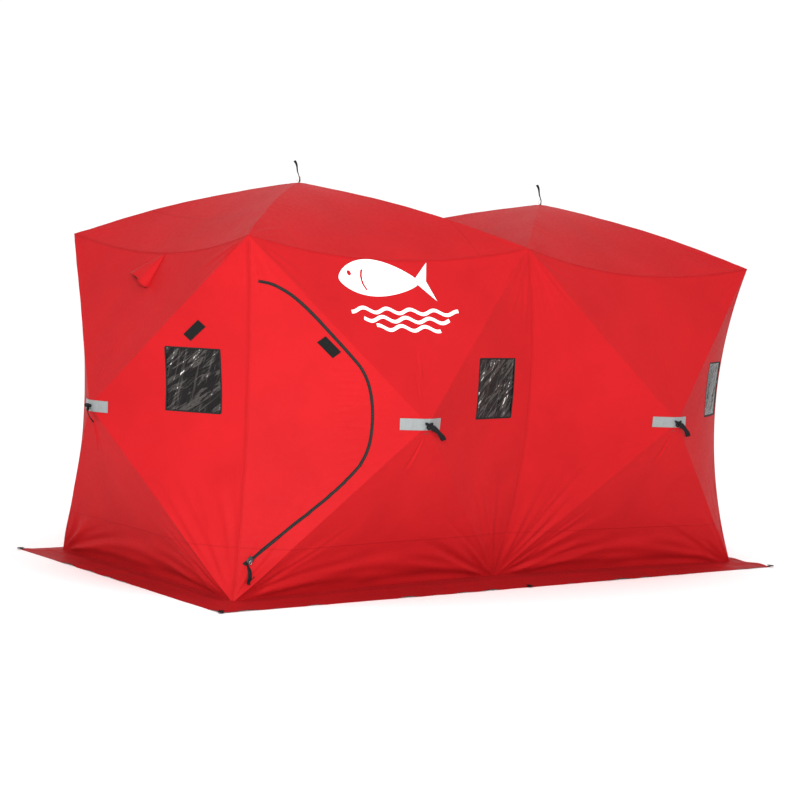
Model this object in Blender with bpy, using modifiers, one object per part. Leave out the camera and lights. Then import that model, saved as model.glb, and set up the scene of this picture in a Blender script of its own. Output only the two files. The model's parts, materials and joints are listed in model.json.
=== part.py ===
"""Two-bay pop-up hub shelter for ice fishing: cloth panels sprung out by a frame of hubs and rods.

The origin is on the ground under the middle of the shelter, +X runs along the two bays, the door
wall faces -Y, and +Z is up. Every length is in metres. Each panel is a four-sided cloth pyramid
with a hub at its crown and four rods that run from the hub towards the panel's corners.
"""
import math

import bmesh
import bpy
from mathutils import Matrix, Vector

# Overall size
BAY = 1.78
HALF_BAY = BAY / 2
HALF_DEPTH = 0.89
CORNER_Z = 1.79
MID_TOP_Z = 1.82
BASE_Z = 0.010
ROOF_HUB_Z = 2.125
WALL_HUB_Z = 0.90
BULGE = 0.34
MID_BASE_IN = 0.133
MID_TOP_OUT = 0.015

# How far the stretched cloth pulls each kind of seam out of line, at the seam's middle
CORNER_SAG = 0.10
SEAM_BULGE = 0.14
EAVE_DROP = 0.095
EAVE_IN = 0.04
VALLEY_SAG = 0.08
BASE_SAG = 0.03
ROOF_BOW = 0.035

# Cloth panels
CLOTH = 0.0025
HUB_HOLE_U = 0.065
EDGE_U = 0.992
PANEL_COLUMNS = 5
PANEL_ROWS = 4
SKIRT_WIDTH = 0.174
SKIRT_THICK = 0.006
SKIRT_TUCK = 0.012
CUT_GAP = 0.003
DOOR_GAP = 0.006
CUT_DEPTH = 0.6

# Hubs
PLATE_RADIUS = 0.050
PLATE_DROP = 0.022
PLATE_THICK = 0.006
BOSS_RADIUS = 0.026
CHEEK_INNER = 0.020
CHEEK_OUTER = 0.046
CHEEK_THICK = 0.003
CHEEK_GAP = 0.0120
PIVOT_RADIUS = 0.038
PIVOT_DROP = 0.040
PIN_RADIUS = 0.0024
HUB_DEPTH = 0.048

# Rods
ROD_RADIUS = 0.00475
FERRULE_RADIUS = 0.0055
FERRULE_LENGTH = 0.060
EYE_RADIUS = 0.007
EYE_WIDTH = 0.011
EYE_HOLE_RADIUS = 0.0030
TIP_GAP = 0.15

# Door, windows, vent and pulls, in panel coordinates from the hub: right and up seen from outside
DOOR_CORNERS = ((-0.765, -0.653), (-0.065, -0.005), (-0.765, 0.66))
DOOR_ROUNDING = 0.48
DOOR_ROUND_STEPS = 8
WINDOW_CENTRE = (0.60, 0.17)
WINDOW_SIZE = (0.30, 0.31)
END_WINDOW_CENTRE = (0.555, 0.17)
END_WINDOW_SIZE = (0.25, 0.31)
SLIDER_PLACE = (0.914, 0.93)
SLIDER_STANDOFF = 0.014
SLIDER_SIZE = (0.030, 0.014, 0.008)
PULL_SIZE = (0.095, 0.010, 0.003)
VENT_PLACE = (0.46, 0.87)
VENT_TURN = -0.73
VENT_LENGTH = 0.20
VENT_RADIUS = 0.115
VENT_FLATNESS = 0.55
VENT_STANDOFF = 0.008
STRAP_SIZE = (0.025, 0.003, 0.14)

UP = Vector((0, 0, 1))


def sign(value):
    """-1, 0 or 1, with a dead band that takes the middle of the shelter as 0."""
    return 0 if abs(value) < 0.5 else math.copysign(1, value)


def corner(x_side, y_side, top):
    """A corner of the cloth: x_side is -1, 0 or 1 along the bays, y_side -1 front or 1 back."""
    if x_side:
        depth = HALF_DEPTH
    else:
        depth = HALF_DEPTH + (MID_TOP_OUT if top else -MID_BASE_IN)
    top_z = CORNER_Z if x_side else MID_TOP_Z
    return Vector((x_side * BAY, y_side * depth, top_z if top else BASE_Z))


class Panel:
    """One cloth pyramid: its crown, outward normal and corners, counter-clockwise from outside."""

    def __init__(self, name, plan, normal):
        self.name = name
        self.normal = Vector(normal)
        self.is_roof = self.normal.z > 0
        if self.is_roof:
            self.corners = [corner(x, y, True) for x, y in plan]
            middle = sum(self.corners, Vector()) / 4
            self.crown = Vector((math.copysign(HALF_BAY, middle.x), 0, ROOF_HUB_Z))
            self.up = Vector((0, 1, 0))
        else:
            left, right = plan
            self.corners = [corner(*left, False), corner(*right, False)]
            self.corners += [corner(*right, True), corner(*left, True)]
            middle_x = (left[0] + right[0]) / 2 * BAY
            middle_y = (left[1] + right[1]) / 2 * HALF_DEPTH
            self.crown = Vector((middle_x, middle_y, WALL_HUB_Z)) + self.normal * BULGE
            self.up = UP
        self.right = self.up.cross(self.normal)

    def seam_pull(self, side):
        """The pull on the seam along one side, at its middle."""
        start, end = self.corners[side], self.corners[(side + 1) % 4]
        middle = (start + end) / 2
        x_side = sign(middle.x) if abs(middle.x) > HALF_BAY + 0.1 else 0
        y_side = sign(middle.y)
        if abs(start.z - end.z) > 1:
            if x_side:
                return Vector((-x_side, -y_side, 0)) * CORNER_SAG
            return Vector((0, y_side, 0)) * SEAM_BULGE
        if middle.z < 1:
            return Vector((-x_side, -y_side, 0)) * BASE_SAG
        if not x_side and not y_side:
            return Vector((0, 0, -VALLEY_SAG))
        return Vector((-x_side * EAVE_IN, -y_side * EAVE_IN, -EAVE_DROP))

    def point(self, side, along, out):
        """A point on the cloth: along runs 0 to 1 down a side, out runs 0 at the hub to 1."""
        start, end = self.corners[side], self.corners[(side + 1) % 4]
        chord = start.lerp(end, along)
        place = self.crown.lerp(chord, out)
        place += self.seam_pull(side) * (4 * along * (1 - along) * out * out)
        if self.is_roof:
            place += self.normal * (4 * out * (1 - out) * ROOF_BOW)
        return place

    def frame(self):
        """The matrix that takes panel coordinates, right, up and out from the hub, to the world."""
        turn = Matrix((self.right, self.up, self.normal)).transposed().to_4x4()
        return Matrix.Translation(self.crown) @ turn

    def facet_frame(self, side, along, out):
        """A frame on the cloth: X across the facet, Y towards the hub and Z out of the cloth."""
        step = 0.01
        across = self.point(side, along + step, out) - self.point(side, along - step, out)
        inward = self.point(side, along, out - step) - self.point(side, along, out + step)
        out_axis = across.cross(inward).normalized()
        across.normalize()
        turn = Matrix((across, out_axis.cross(across), out_axis)).transposed().to_4x4()
        return Matrix.Translation(self.point(side, along, out)) @ turn

    def rod_frame(self, index):
        """A rod's frame: origin on its pin, Y along the pin and Z along the rod, and its length."""
        run = self.corners[index] - self.crown
        in_plane = run - self.normal * run.dot(self.normal)
        heading = in_plane.normalized()
        pivot = self.crown + heading * PIVOT_RADIUS - self.normal * PIVOT_DROP
        length = run.length * (1 - PIVOT_RADIUS / in_plane.length) - TIP_GAP
        direction = run.normalized()
        pin = heading.cross(self.normal)
        turn = Matrix((pin.cross(direction), pin, direction)).transposed().to_4x4()
        return Matrix.Translation(pivot) @ turn, length


PANELS = [
    Panel("front_left", ((-1, -1), (0, -1)), (0, -1, 0)),
    Panel("front_right", ((0, -1), (1, -1)), (0, -1, 0)),
    Panel("back_left", ((0, 1), (-1, 1)), (0, 1, 0)),
    Panel("back_right", ((1, 1), (0, 1)), (0, 1, 0)),
    Panel("left_end", ((-1, 1), (-1, -1)), (-1, 0, 0)),
    Panel("right_end", ((1, -1), (1, 1)), (1, 0, 0)),
    Panel("left_roof", ((-1, -1), (0, -1), (0, 1), (-1, 1)), (0, 0, 1)),
    Panel("right_roof", ((0, -1), (1, -1), (1, 1), (0, 1)), (0, 0, 1)),
]


def clear_scene():
    """Remove every object, so that the script can be run again."""
    for obj in list(bpy.data.objects):
        bpy.data.objects.remove(obj, do_unlink=True)


def new_collection(name):
    """A collection linked to the scene."""
    collection = bpy.data.collections.new(name)
    bpy.context.scene.collection.children.link(collection)
    return collection


def make_material(name, color, roughness, metallic=0.0):
    """A Principled material."""
    material = bpy.data.materials.new(name)
    material.use_nodes = True
    shader = material.node_tree.nodes["Principled BSDF"]
    shader.inputs["Base Color"].default_value = (*color, 1)
    shader.inputs["Roughness"].default_value = roughness
    shader.inputs["Metallic"].default_value = metallic
    return material


def make_object(name, mesh, collection, material=None, matrix=None):
    """An object in a collection, with its material and place."""
    obj = bpy.data.objects.new(name, mesh)
    collection.objects.link(obj)
    if material:
        mesh.materials.clear()
        mesh.materials.append(material)
    if matrix:
        obj.matrix_world = matrix
    return obj


def mesh_from(bm, name):
    """A mesh from a bmesh, which is freed."""
    mesh = bpy.data.meshes.new(name)
    bm.to_mesh(mesh)
    bm.free()
    return mesh


def box_mesh(name, low, high):
    """A box between two corners."""
    bm = bmesh.new()
    bmesh.ops.create_cube(bm, size=1)
    size = Vector(high) - Vector(low)
    bmesh.ops.scale(bm, vec=size, verts=bm.verts)
    bmesh.ops.translate(bm, vec=(Vector(high) + Vector(low)) / 2, verts=bm.verts)
    return mesh_from(bm, name)


def cylinder_mesh(name, radius, low, high, segments, matrix=None):
    """A cylinder about Z from low to high, then turned and moved by a matrix."""
    bm = bmesh.new()
    bmesh.ops.create_cone(bm, cap_ends=True, segments=segments, radius1=radius, radius2=radius,
                          depth=high - low)
    bmesh.ops.translate(bm, vec=(0, 0, (high + low) / 2), verts=bm.verts)
    if matrix:
        bmesh.ops.transform(bm, matrix=matrix, verts=bm.verts)
    return mesh_from(bm, name)


def combine(base, tools, name):
    """The mesh of a base object after Booleans with meshes: tools are (mesh, operation) pairs."""
    helpers = []
    for mesh, operation in tools:
        helper = bpy.data.objects.new("helper", mesh)
        bpy.context.scene.collection.objects.link(helper)
        modifier = base.modifiers.new(operation, "BOOLEAN")
        modifier.operation = operation
        modifier.object = helper
        helpers.append(helper)
    depsgraph = bpy.context.evaluated_depsgraph_get()
    mesh = bpy.data.meshes.new_from_object(base.evaluated_get(depsgraph))
    mesh.name = name
    for helper in [base, *helpers]:
        bpy.data.objects.remove(helper, do_unlink=True)
    return mesh


def panel_mesh(panel):
    """The open cloth surface of one panel, from the rim of its hub hole to its seams."""
    bm = bmesh.new()
    rings = []
    for row in range(PANEL_ROWS + 1):
        out = HUB_HOLE_U + (EDGE_U - HUB_HOLE_U) * row / PANEL_ROWS
        ring = []
        for side in range(4):
            for column in range(PANEL_COLUMNS):
                ring.append(bm.verts.new(panel.point(side, column / PANEL_COLUMNS, out)))
        rings.append(ring)
    count = len(rings[0])
    for inner, outer in zip(rings, rings[1:]):
        for i in range(count):
            j = (i + 1) % count
            bm.faces.new((inner[i], outer[i], outer[j], inner[j]))
    return mesh_from(bm, panel.name)


def add_cloth(obj):
    """Give an open cloth surface its thickness, inwards."""
    solid = obj.modifiers.new("Thickness", "SOLIDIFY")
    solid.thickness = CLOTH
    solid.offset = -1
    solid.use_even_offset = True


def outline_cutter(name, panel, outline, inset, rounding, collection):
    """A prism through a panel, from an outline in panel coordinates, shrunk by an inset."""
    bm = bmesh.new()
    verts = [bm.verts.new((x, y, CUT_DEPTH / 4)) for x, y in outline]
    face = bm.faces.new(verts)
    if rounding:
        tip = max(bm.verts, key=lambda vert: vert.co.x)
        bmesh.ops.bevel(bm, geom=[tip], offset=rounding, offset_type="OFFSET",
                        segments=DOOR_ROUND_STEPS, profile=0.5, affect="VERTICES")
        face = bm.faces[:][0]
    if inset:
        rim = bmesh.ops.inset_region(bm, faces=[face], thickness=inset, use_boundary=True,
                                      use_even_offset=True)
        bmesh.ops.delete(bm, geom=rim["faces"], context="FACES")
    grown = bmesh.ops.extrude_face_region(bm, geom=bm.faces[:])
    moved = [item for item in grown["geom"] if isinstance(item, bmesh.types.BMVert)]
    bmesh.ops.translate(bm, vec=(0, 0, -CUT_DEPTH), verts=moved)
    bmesh.ops.recalc_face_normals(bm, faces=bm.faces)
    cutter = make_object(name, mesh_from(bm, name), collection, matrix=panel.frame())
    cutter.hide_render = True
    cutter.display_type = "WIRE"
    return cutter


def cut(obj, cutter, operation):
    """A live Boolean between a piece and a cutter."""
    modifier = obj.modifiers.new(cutter.name, "BOOLEAN")
    modifier.operation = operation
    modifier.object = cutter


def window_outline(panel):
    """The four corners of a panel's window, in panel coordinates."""
    (x, y), (width, height) = WINDOW_CENTRE, WINDOW_SIZE
    if panel.name.endswith("end"):
        (x, y), (width, height) = END_WINDOW_CENTRE, END_WINDOW_SIZE
    half_w, half_h = width / 2, height / 2
    return ((x - half_w, y - half_h), (x + half_w, y - half_h),
            (x + half_w, y + half_h), (x - half_w, y + half_h))


def build_opening(panel, wall, name, outline, rounding, gap, material, parts, cutters):
    """Cut a hole in a wall, and fill it with a separate piece of the same cloth surface."""
    hole = outline_cutter(name + "_hole", panel, outline, 0, rounding, cutters)
    cut(wall, hole, "DIFFERENCE")
    filler = make_object(name, panel_mesh(panel), parts, material)
    add_cloth(filler)
    edge = outline_cutter(name + "_edge", panel, outline, gap, rounding, cutters)
    cut(filler, edge, "INTERSECT")
    return filler


def hub_mesh(panel):
    """A hub: an outer plate, a boss, and a pair of cheeks with a pin for each rod."""
    plate_low = -PLATE_DROP - PLATE_THICK
    overlap = 0.001
    base = make_object("plate", cylinder_mesh("plate", PLATE_RADIUS, plate_low, -PLATE_DROP, 20),
                       bpy.context.scene.collection)
    tools = [(cylinder_mesh("boss", BOSS_RADIUS, -HUB_DEPTH, plate_low + overlap, 12), "UNION")]
    for index in range(4):
        run = panel.corners[index] - panel.crown
        turn = Matrix.Rotation(math.atan2(run.dot(panel.up), run.dot(panel.right)), 4, "Z")
        for edge in (-CHEEK_GAP / 2 - CHEEK_THICK, CHEEK_GAP / 2):
            cheek = box_mesh("cheek", (CHEEK_INNER, edge, -HUB_DEPTH - overlap),
                             (CHEEK_OUTER, edge + CHEEK_THICK, plate_low + overlap))
            cheek.transform(turn)
            tools.append((cheek, "UNION"))
        place = turn @ Matrix.Translation((PIVOT_RADIUS, 0, -PIVOT_DROP))
        place @= Matrix.Rotation(math.pi / 2, 4, "X")
        half = CHEEK_GAP / 2 + CHEEK_THICK - overlap / 2
        tools.append((cylinder_mesh("pin", PIN_RADIUS, -half, half, 8, place), "UNION"))
    return combine(base, tools, panel.name + "_hub")


def rod_mesh(length):
    """A rod with its ferrule and eye, along Z from the middle of the eye."""
    profile = bmesh.new()
    outline = ((0, length), (ROD_RADIUS, length), (ROD_RADIUS, FERRULE_LENGTH),
               (FERRULE_RADIUS, FERRULE_LENGTH), (FERRULE_RADIUS, EYE_RADIUS / 2),
               (0, EYE_RADIUS / 2))
    verts = [profile.verts.new((x, 0, z)) for x, z in outline]
    for start, end in zip(verts, verts[1:]):
        profile.edges.new((start, end))
    base = make_object("shaft", mesh_from(profile, "shaft"), bpy.context.scene.collection)
    screw = base.modifiers.new("Turn", "SCREW")
    screw.steps = 6
    screw.render_steps = 6
    screw.use_merge_vertices = True
    screw.merge_threshold = 1e-5
    across = Matrix.Rotation(math.pi / 2, 4, "X")
    eye = cylinder_mesh("eye", EYE_RADIUS, -EYE_WIDTH / 2, EYE_WIDTH / 2, 10, across)
    hole = cylinder_mesh("hole", EYE_HOLE_RADIUS, -EYE_WIDTH, EYE_WIDTH, 8, across)
    return combine(base, [(eye, "UNION"), (hole, "DIFFERENCE")], "rod")


def build_frame(panel, parts, hub_material, rod_material):
    """A panel's hub and its four rods, which hang on the hub."""
    hub = make_object(panel.name + "_hub", hub_mesh(panel), parts, hub_material, panel.frame())
    for index in range(4):
        matrix, length = panel.rod_frame(index)
        rod = make_object(f"{panel.name}_rod_{index + 1}", rod_mesh(length), parts, rod_material)
        rod.parent = hub
        rod.matrix_parent_inverse = hub.matrix_world.inverted()
        rod.matrix_world = matrix
    return hub


def build_skirt(parts, material):
    """The flat snow skirt: a ring that lies on the ground all round the walls."""
    bm = bmesh.new()
    walls = [panel for panel in PANELS if not panel.is_roof]
    order = ["front_left", "front_right", "right_end", "back_right", "back_left", "left_end"]
    inner, outer = [], []
    for wall in (next(w for w in walls if w.name == name) for name in order):
        for column in range(PANEL_COLUMNS):
            along = column / PANEL_COLUMNS
            base = wall.point(0, along, 1)
            tuck = Vector((math.copysign(SKIRT_TUCK, base.x), math.copysign(SKIRT_TUCK, base.y), 0))
            if abs(base.x) < BAY - CORNER_SAG:
                tuck.x = 0
            if abs(base.y) < HALF_DEPTH - MID_BASE_IN - BASE_SAG - SKIRT_TUCK:
                tuck.y = 0
            start, end = wall.corners[0], wall.corners[1]
            chord = start.lerp(end, along)
            rim = Vector((chord.x, chord.y, 0))
            if wall.name.endswith("end"):
                rim.x = math.copysign(BAY + SKIRT_WIDTH, rim.x)
                rim.y *= (HALF_DEPTH + SKIRT_WIDTH) / HALF_DEPTH
            else:
                rim.x *= (BAY + SKIRT_WIDTH) / BAY
                rim.y = math.copysign(HALF_DEPTH + SKIRT_WIDTH, rim.y)
            inner.append(bm.verts.new((base.x - tuck.x, base.y - tuck.y, 0)))
            outer.append(bm.verts.new(rim))
    count = len(inner)
    for i in range(count):
        j = (i + 1) % count
        bm.faces.new((inner[i], outer[i], outer[j], inner[j]))
    skirt = make_object("skirt", mesh_from(bm, "skirt"), parts, material)
    solid = skirt.modifiers.new("Thickness", "SOLIDIFY")
    solid.thickness = SKIRT_THICK
    solid.offset = 1
    return skirt


def build_slider(panel, parts, material):
    """The door zip's slider and its pull, in front of the lower run of the zip."""
    along, out = SLIDER_PLACE
    length, width, height = SLIDER_SIZE
    pull_length, pull_width, pull_thick = PULL_SIZE
    low = SLIDER_STANDOFF
    body = make_object("body", box_mesh("body", (-length / 2, -width / 2, low),
                                        (length / 2, width / 2, low + height)),
                       bpy.context.scene.collection)
    lift = low + (height - pull_thick) / 2
    pull = box_mesh("pull", (0, -pull_width / 2, lift),
                    (pull_length, pull_width / 2, lift + pull_thick))
    mesh = combine(body, [(pull, "UNION")], "door_slider")
    return make_object("door_slider", mesh, parts, material, panel.facet_frame(3, along, out))


def build_vent(panel, parts, material):
    """The hood over the vent: half a flattened cone whose mouth faces down the wall."""
    bm = bmesh.new()
    bmesh.ops.create_cone(bm, cap_ends=False, segments=16, radius1=VENT_RADIUS,
                          radius2=VENT_RADIUS / 20, depth=VENT_LENGTH)
    bmesh.ops.rotate(bm, matrix=Matrix.Rotation(math.pi / 2, 3, "X"), verts=bm.verts)
    bmesh.ops.scale(bm, vec=(1, 1, VENT_FLATNESS), verts=bm.verts)
    geometry = bm.verts[:] + bm.edges[:] + bm.faces[:]
    bmesh.ops.bisect_plane(bm, geom=geometry, plane_co=(0, 0, 0), plane_no=(0, 0, -1),
                           clear_outer=True)
    bmesh.ops.translate(bm, vec=(0, 0, VENT_STANDOFF), verts=bm.verts)
    along, out = VENT_PLACE
    place = panel.facet_frame(2, along, out) @ Matrix.Rotation(VENT_TURN, 4, "Z")
    vent = make_object(panel.name + "_vent", mesh_from(bm, "vent"), parts, material, place)
    add_cloth(vent)
    return vent


def build_strap(panel, hub, parts, material):
    """The webbing pull that stands on a roof hub."""
    width, thick, height = STRAP_SIZE
    low = 0.0004 - PLATE_DROP
    mesh = box_mesh("strap", (-width / 2, -thick / 2, low), (width / 2, thick / 2, low + height))
    strap = make_object(panel.name + "_strap", mesh, parts, material)
    strap.parent = hub
    strap.matrix_parent_inverse = hub.matrix_world.inverted()
    strap.matrix_world = panel.frame()
    return strap


def main():
    """Build the shelter."""
    clear_scene()
    parts = new_collection("ice_fishing_shelter")
    cutters = new_collection("cutters")
    red = make_material("red_cloth", (0.74, 0.015, 0.02), 0.6)
    dark = make_material("skirt_cloth", (0.20, 0.008, 0.012), 0.7)
    clear = make_material("window_film", (0.02, 0.02, 0.02), 0.25)
    plastic = make_material("hub_plastic", (0.02, 0.02, 0.02), 0.5)
    fibreglass = make_material("rod_fibreglass", (0.03, 0.03, 0.03), 0.35)
    metal = make_material("zip_metal", (0.25, 0.25, 0.25), 0.35, 1.0)
    webbing = make_material("webbing", (0.015, 0.015, 0.015), 0.8)
    for panel in PANELS:
        suffix = "" if panel.is_roof else "_wall"
        cloth = make_object(panel.name + suffix, panel_mesh(panel), parts, red)
        add_cloth(cloth)
        hub = build_frame(panel, parts, plastic, fibreglass)
        if panel.is_roof:
            build_strap(panel, hub, parts, webbing)
            continue
        build_opening(panel, cloth, panel.name + "_window", window_outline(panel), 0, CUT_GAP,
                      clear, parts, cutters)
        if panel.name == "front_left":
            door = build_opening(panel, cloth, "door_panel", DOOR_CORNERS, DOOR_ROUNDING,
                                 DOOR_GAP, red, parts, cutters)
            door.name = "door_panel"
            build_slider(panel, parts, metal)
        if panel.name == "left_end":
            build_vent(panel, parts, red)
    build_skirt(parts, dark)


if __name__ == "__main__":
    main()
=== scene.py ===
"""Looks of the two-bay pop-up shelter for ice fishing: cloth, windows, zip door, straps and rods.

Every cloth panel is a four-sided pyramid. Its pieces are laid out in panel coordinates, measured in
metres from the panel's crown: right, up and out, as someone outside the shelter sees them.
"""
from __future__ import annotations

import json
import logging
import math
from collections.abc import Sequence
from dataclasses import dataclass, field
from enum import Enum

import bmesh
import bpy
import numpy as np
from mathutils import Matrix, Vector

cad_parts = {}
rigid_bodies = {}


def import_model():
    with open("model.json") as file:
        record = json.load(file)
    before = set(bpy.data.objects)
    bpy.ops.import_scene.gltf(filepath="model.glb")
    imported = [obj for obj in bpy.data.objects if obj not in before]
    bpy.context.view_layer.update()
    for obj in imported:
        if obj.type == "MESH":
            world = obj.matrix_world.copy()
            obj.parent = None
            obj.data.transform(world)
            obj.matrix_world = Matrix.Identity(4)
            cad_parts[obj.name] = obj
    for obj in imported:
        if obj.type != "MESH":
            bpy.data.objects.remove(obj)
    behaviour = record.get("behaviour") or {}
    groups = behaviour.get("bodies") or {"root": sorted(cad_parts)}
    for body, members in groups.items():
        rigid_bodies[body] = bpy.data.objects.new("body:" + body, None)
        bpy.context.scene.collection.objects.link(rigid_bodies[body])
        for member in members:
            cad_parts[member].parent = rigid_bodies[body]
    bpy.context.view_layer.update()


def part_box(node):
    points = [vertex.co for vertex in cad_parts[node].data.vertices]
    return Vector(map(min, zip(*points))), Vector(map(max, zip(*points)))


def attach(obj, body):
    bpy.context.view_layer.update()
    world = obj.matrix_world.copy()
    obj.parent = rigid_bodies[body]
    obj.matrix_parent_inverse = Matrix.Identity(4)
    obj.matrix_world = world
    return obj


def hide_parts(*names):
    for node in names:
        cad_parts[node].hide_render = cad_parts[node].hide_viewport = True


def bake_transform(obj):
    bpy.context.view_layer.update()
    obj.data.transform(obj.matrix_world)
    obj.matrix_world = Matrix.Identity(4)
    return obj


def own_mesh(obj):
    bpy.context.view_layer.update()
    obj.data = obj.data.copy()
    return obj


LOG = logging.getLogger("shelter")
Array = np.ndarray


class Side(Enum):
    """The four facets of a panel, as seen from outside."""

    BOTTOM = 0
    RIGHT = 1
    TOP = 2
    LEFT = 3


# ---------------------------------------------------------------- shader graph


class Wire:
    """A node socket that arithmetic can be written with."""

    def __init__(self, graph: Graph, socket: bpy.types.NodeSocket) -> None:
        """Wrap a socket of a graph."""
        self.graph = graph
        self.socket = socket

    def _math(self, operation: str, left: Wire | float, right: Wire | float) -> Wire:
        """A Math node on two values."""
        return self.graph.add("ShaderNodeMath", {"operation": operation}, {0: left, 1: right})

    def __add__(self, other: Wire | float) -> Wire:
        """Sum."""
        return self._math("ADD", self, other)

    def __radd__(self, other: float) -> Wire:
        """Sum with a number on the left."""
        return self._math("ADD", other, self)

    def __sub__(self, other: Wire | float) -> Wire:
        """Difference."""
        return self._math("SUBTRACT", self, other)

    def __rsub__(self, other: float) -> Wire:
        """Difference from a number."""
        return self._math("SUBTRACT", other, self)

    def __mul__(self, other: Wire | float) -> Wire:
        """Product."""
        return self._math("MULTIPLY", self, other)

    def __rmul__(self, other: float) -> Wire:
        """Product with a number on the left."""
        return self._math("MULTIPLY", other, self)

    def __truediv__(self, other: Wire | float) -> Wire:
        """Quotient."""
        return self._math("DIVIDE", self, other)

    def __gt__(self, other: Wire | float) -> Wire:
        """1 where this is the larger."""
        return self._math("GREATER_THAN", self, other)

    def power(self, exponent: float) -> Wire:
        """This to a power."""
        return self._math("POWER", self, exponent)

    def wave(self) -> Wire:
        """The sine of this."""
        return self._math("SINE", self, 0.0)


Value = Wire | float | Sequence[float]


class Graph:
    """The nodes of one material, ending in a Principled shader."""

    def __init__(self, name: str) -> None:
        """Start a material with a Principled shader."""
        self.material = bpy.data.materials.new(name)
        self.material.use_nodes = True
        self.nodes = self.material.node_tree.nodes
        self.shader = self.nodes["Principled BSDF"]

    def add(self, kind: str, settings: dict[str, object] | None = None,
            inputs: dict[int | str, Value] | None = None, output: int | str = 0) -> Wire:
        """Add a node.

        Args:
            kind: The node's type.
            settings: Properties, which are set before the sockets.
            inputs: Values or wires by the socket's name or place.
            output: The output to return.

        Returns:
            The wire of that output.
        """
        node = self.nodes.new(kind)
        for key, value in (settings or {}).items():
            setattr(node, key, value)
        for key, value in (inputs or {}).items():
            self.feed(node.inputs[key], value)
        return Wire(self, node.outputs[output])

    def feed(self, socket: bpy.types.NodeSocket, value: Value) -> None:
        """Link a wire to a socket, or set its value."""
        if isinstance(value, Wire):
            self.material.node_tree.links.new(value.socket, socket)
        elif isinstance(value, (int, float)):
            socket.default_value = value
        else:
            plain = tuple(value)
            short = len(plain) == 3 and len(socket.default_value) == 4
            socket.default_value = (*plain, 1.0) if short else plain

    def set(self, **values: Value) -> None:
        """Set the shader's sockets, named in lower case with underscores."""
        names = {socket.name.lower().replace(" ", "_"): socket for socket in self.shader.inputs}
        for key, value in values.items():
            self.feed(names[key], value)

    def uv(self, scale: Sequence[float] = (1, 1, 1), turn: float = 0.0) -> Wire:
        """The piece's UV map, in metres, scaled and turned."""
        source = self.add("ShaderNodeUVMap", {"uv_map": "UVMap"})
        if turn:
            source = self.add("ShaderNodeMapping", {}, {"Vector": source,
                                                        "Rotation": (0, 0, turn)})
        return self.add("ShaderNodeMapping", {}, {"Vector": source, "Scale": scale})

    def place(self, scale: Sequence[float] = (1, 1, 1)) -> Wire:
        """Object coordinates, scaled."""
        source = self.add("ShaderNodeTexCoord", output="Object")
        return self.add("ShaderNodeMapping", {}, {"Vector": source, "Scale": scale})

    def axis(self, vector: Wire, index: int) -> Wire:
        """One part of a vector."""
        return self.add("ShaderNodeSeparateXYZ", {}, {0: vector}, output=index)

    def noise(self, vector: Wire, scale: float, detail: float = 3.0, rough: float = 0.55,
              twist: float = 0.0) -> Wire:
        """Fractal noise, 0 to 1.

        Args:
            vector: Where the noise is read.
            scale: Features per metre.
            detail: Octaves.
            rough: How much the octaves keep.
            twist: How far the noise bends itself.

        Returns:
            The noise, 0 to 1.
        """
        return self.add("ShaderNodeTexNoise", {}, {"Vector": vector, "Scale": scale,
                                                   "Detail": detail, "Roughness": rough,
                                                   "Distortion": twist})

    def remap(self, value: Wire, low: float, high: float, to_low: float = 0.0,
              to_high: float = 1.0) -> Wire:
        """A value moved from one range to another, and held in it.

        Args:
            value: The value to move.
            low: The start of its own range.
            high: The end of its own range.
            to_low: The start of the new range.
            to_high: The end of the new range.

        Returns:
            The moved value.
        """
        return self.add("ShaderNodeMapRange", {"clamp": True},
                        {"Value": value, "From Min": low, "From Max": high, "To Min": to_low,
                         "To Max": to_high})

    def blend(self, factor: Value, first: Value, second: Value, mode: str = "MIX") -> Wire:
        """Two colours mixed.

        Args:
            factor: The share of the second colour.
            first: The first colour.
            second: The second colour.
            mode: How they mix.

        Returns:
            The mixed colour.
        """
        node = self.nodes.new("ShaderNodeMix")
        node.data_type = "RGBA"
        node.blend_type = mode
        for place, value in ((0, factor), (6, first), (7, second)):
            self.feed(node.inputs[place], value)
        return Wire(self, node.outputs[2])

    def bump(self, height: Wire, distance: float, strength: float = 1.0,
             normal: Wire | None = None) -> Wire:
        """A bumped normal.

        Args:
            height: The height field.
            distance: The height of 1, in metres.
            strength: The share of it to use.
            normal: A normal to start from.

        Returns:
            The bumped normal.
        """
        inputs: dict[int | str, Value] = {"Height": height, "Distance": distance,
                                          "Strength": strength}
        if normal:
            inputs["Normal"] = normal
        return self.add("ShaderNodeBump", {}, inputs)


# ---------------------------------------------------------------- finishes


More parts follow.
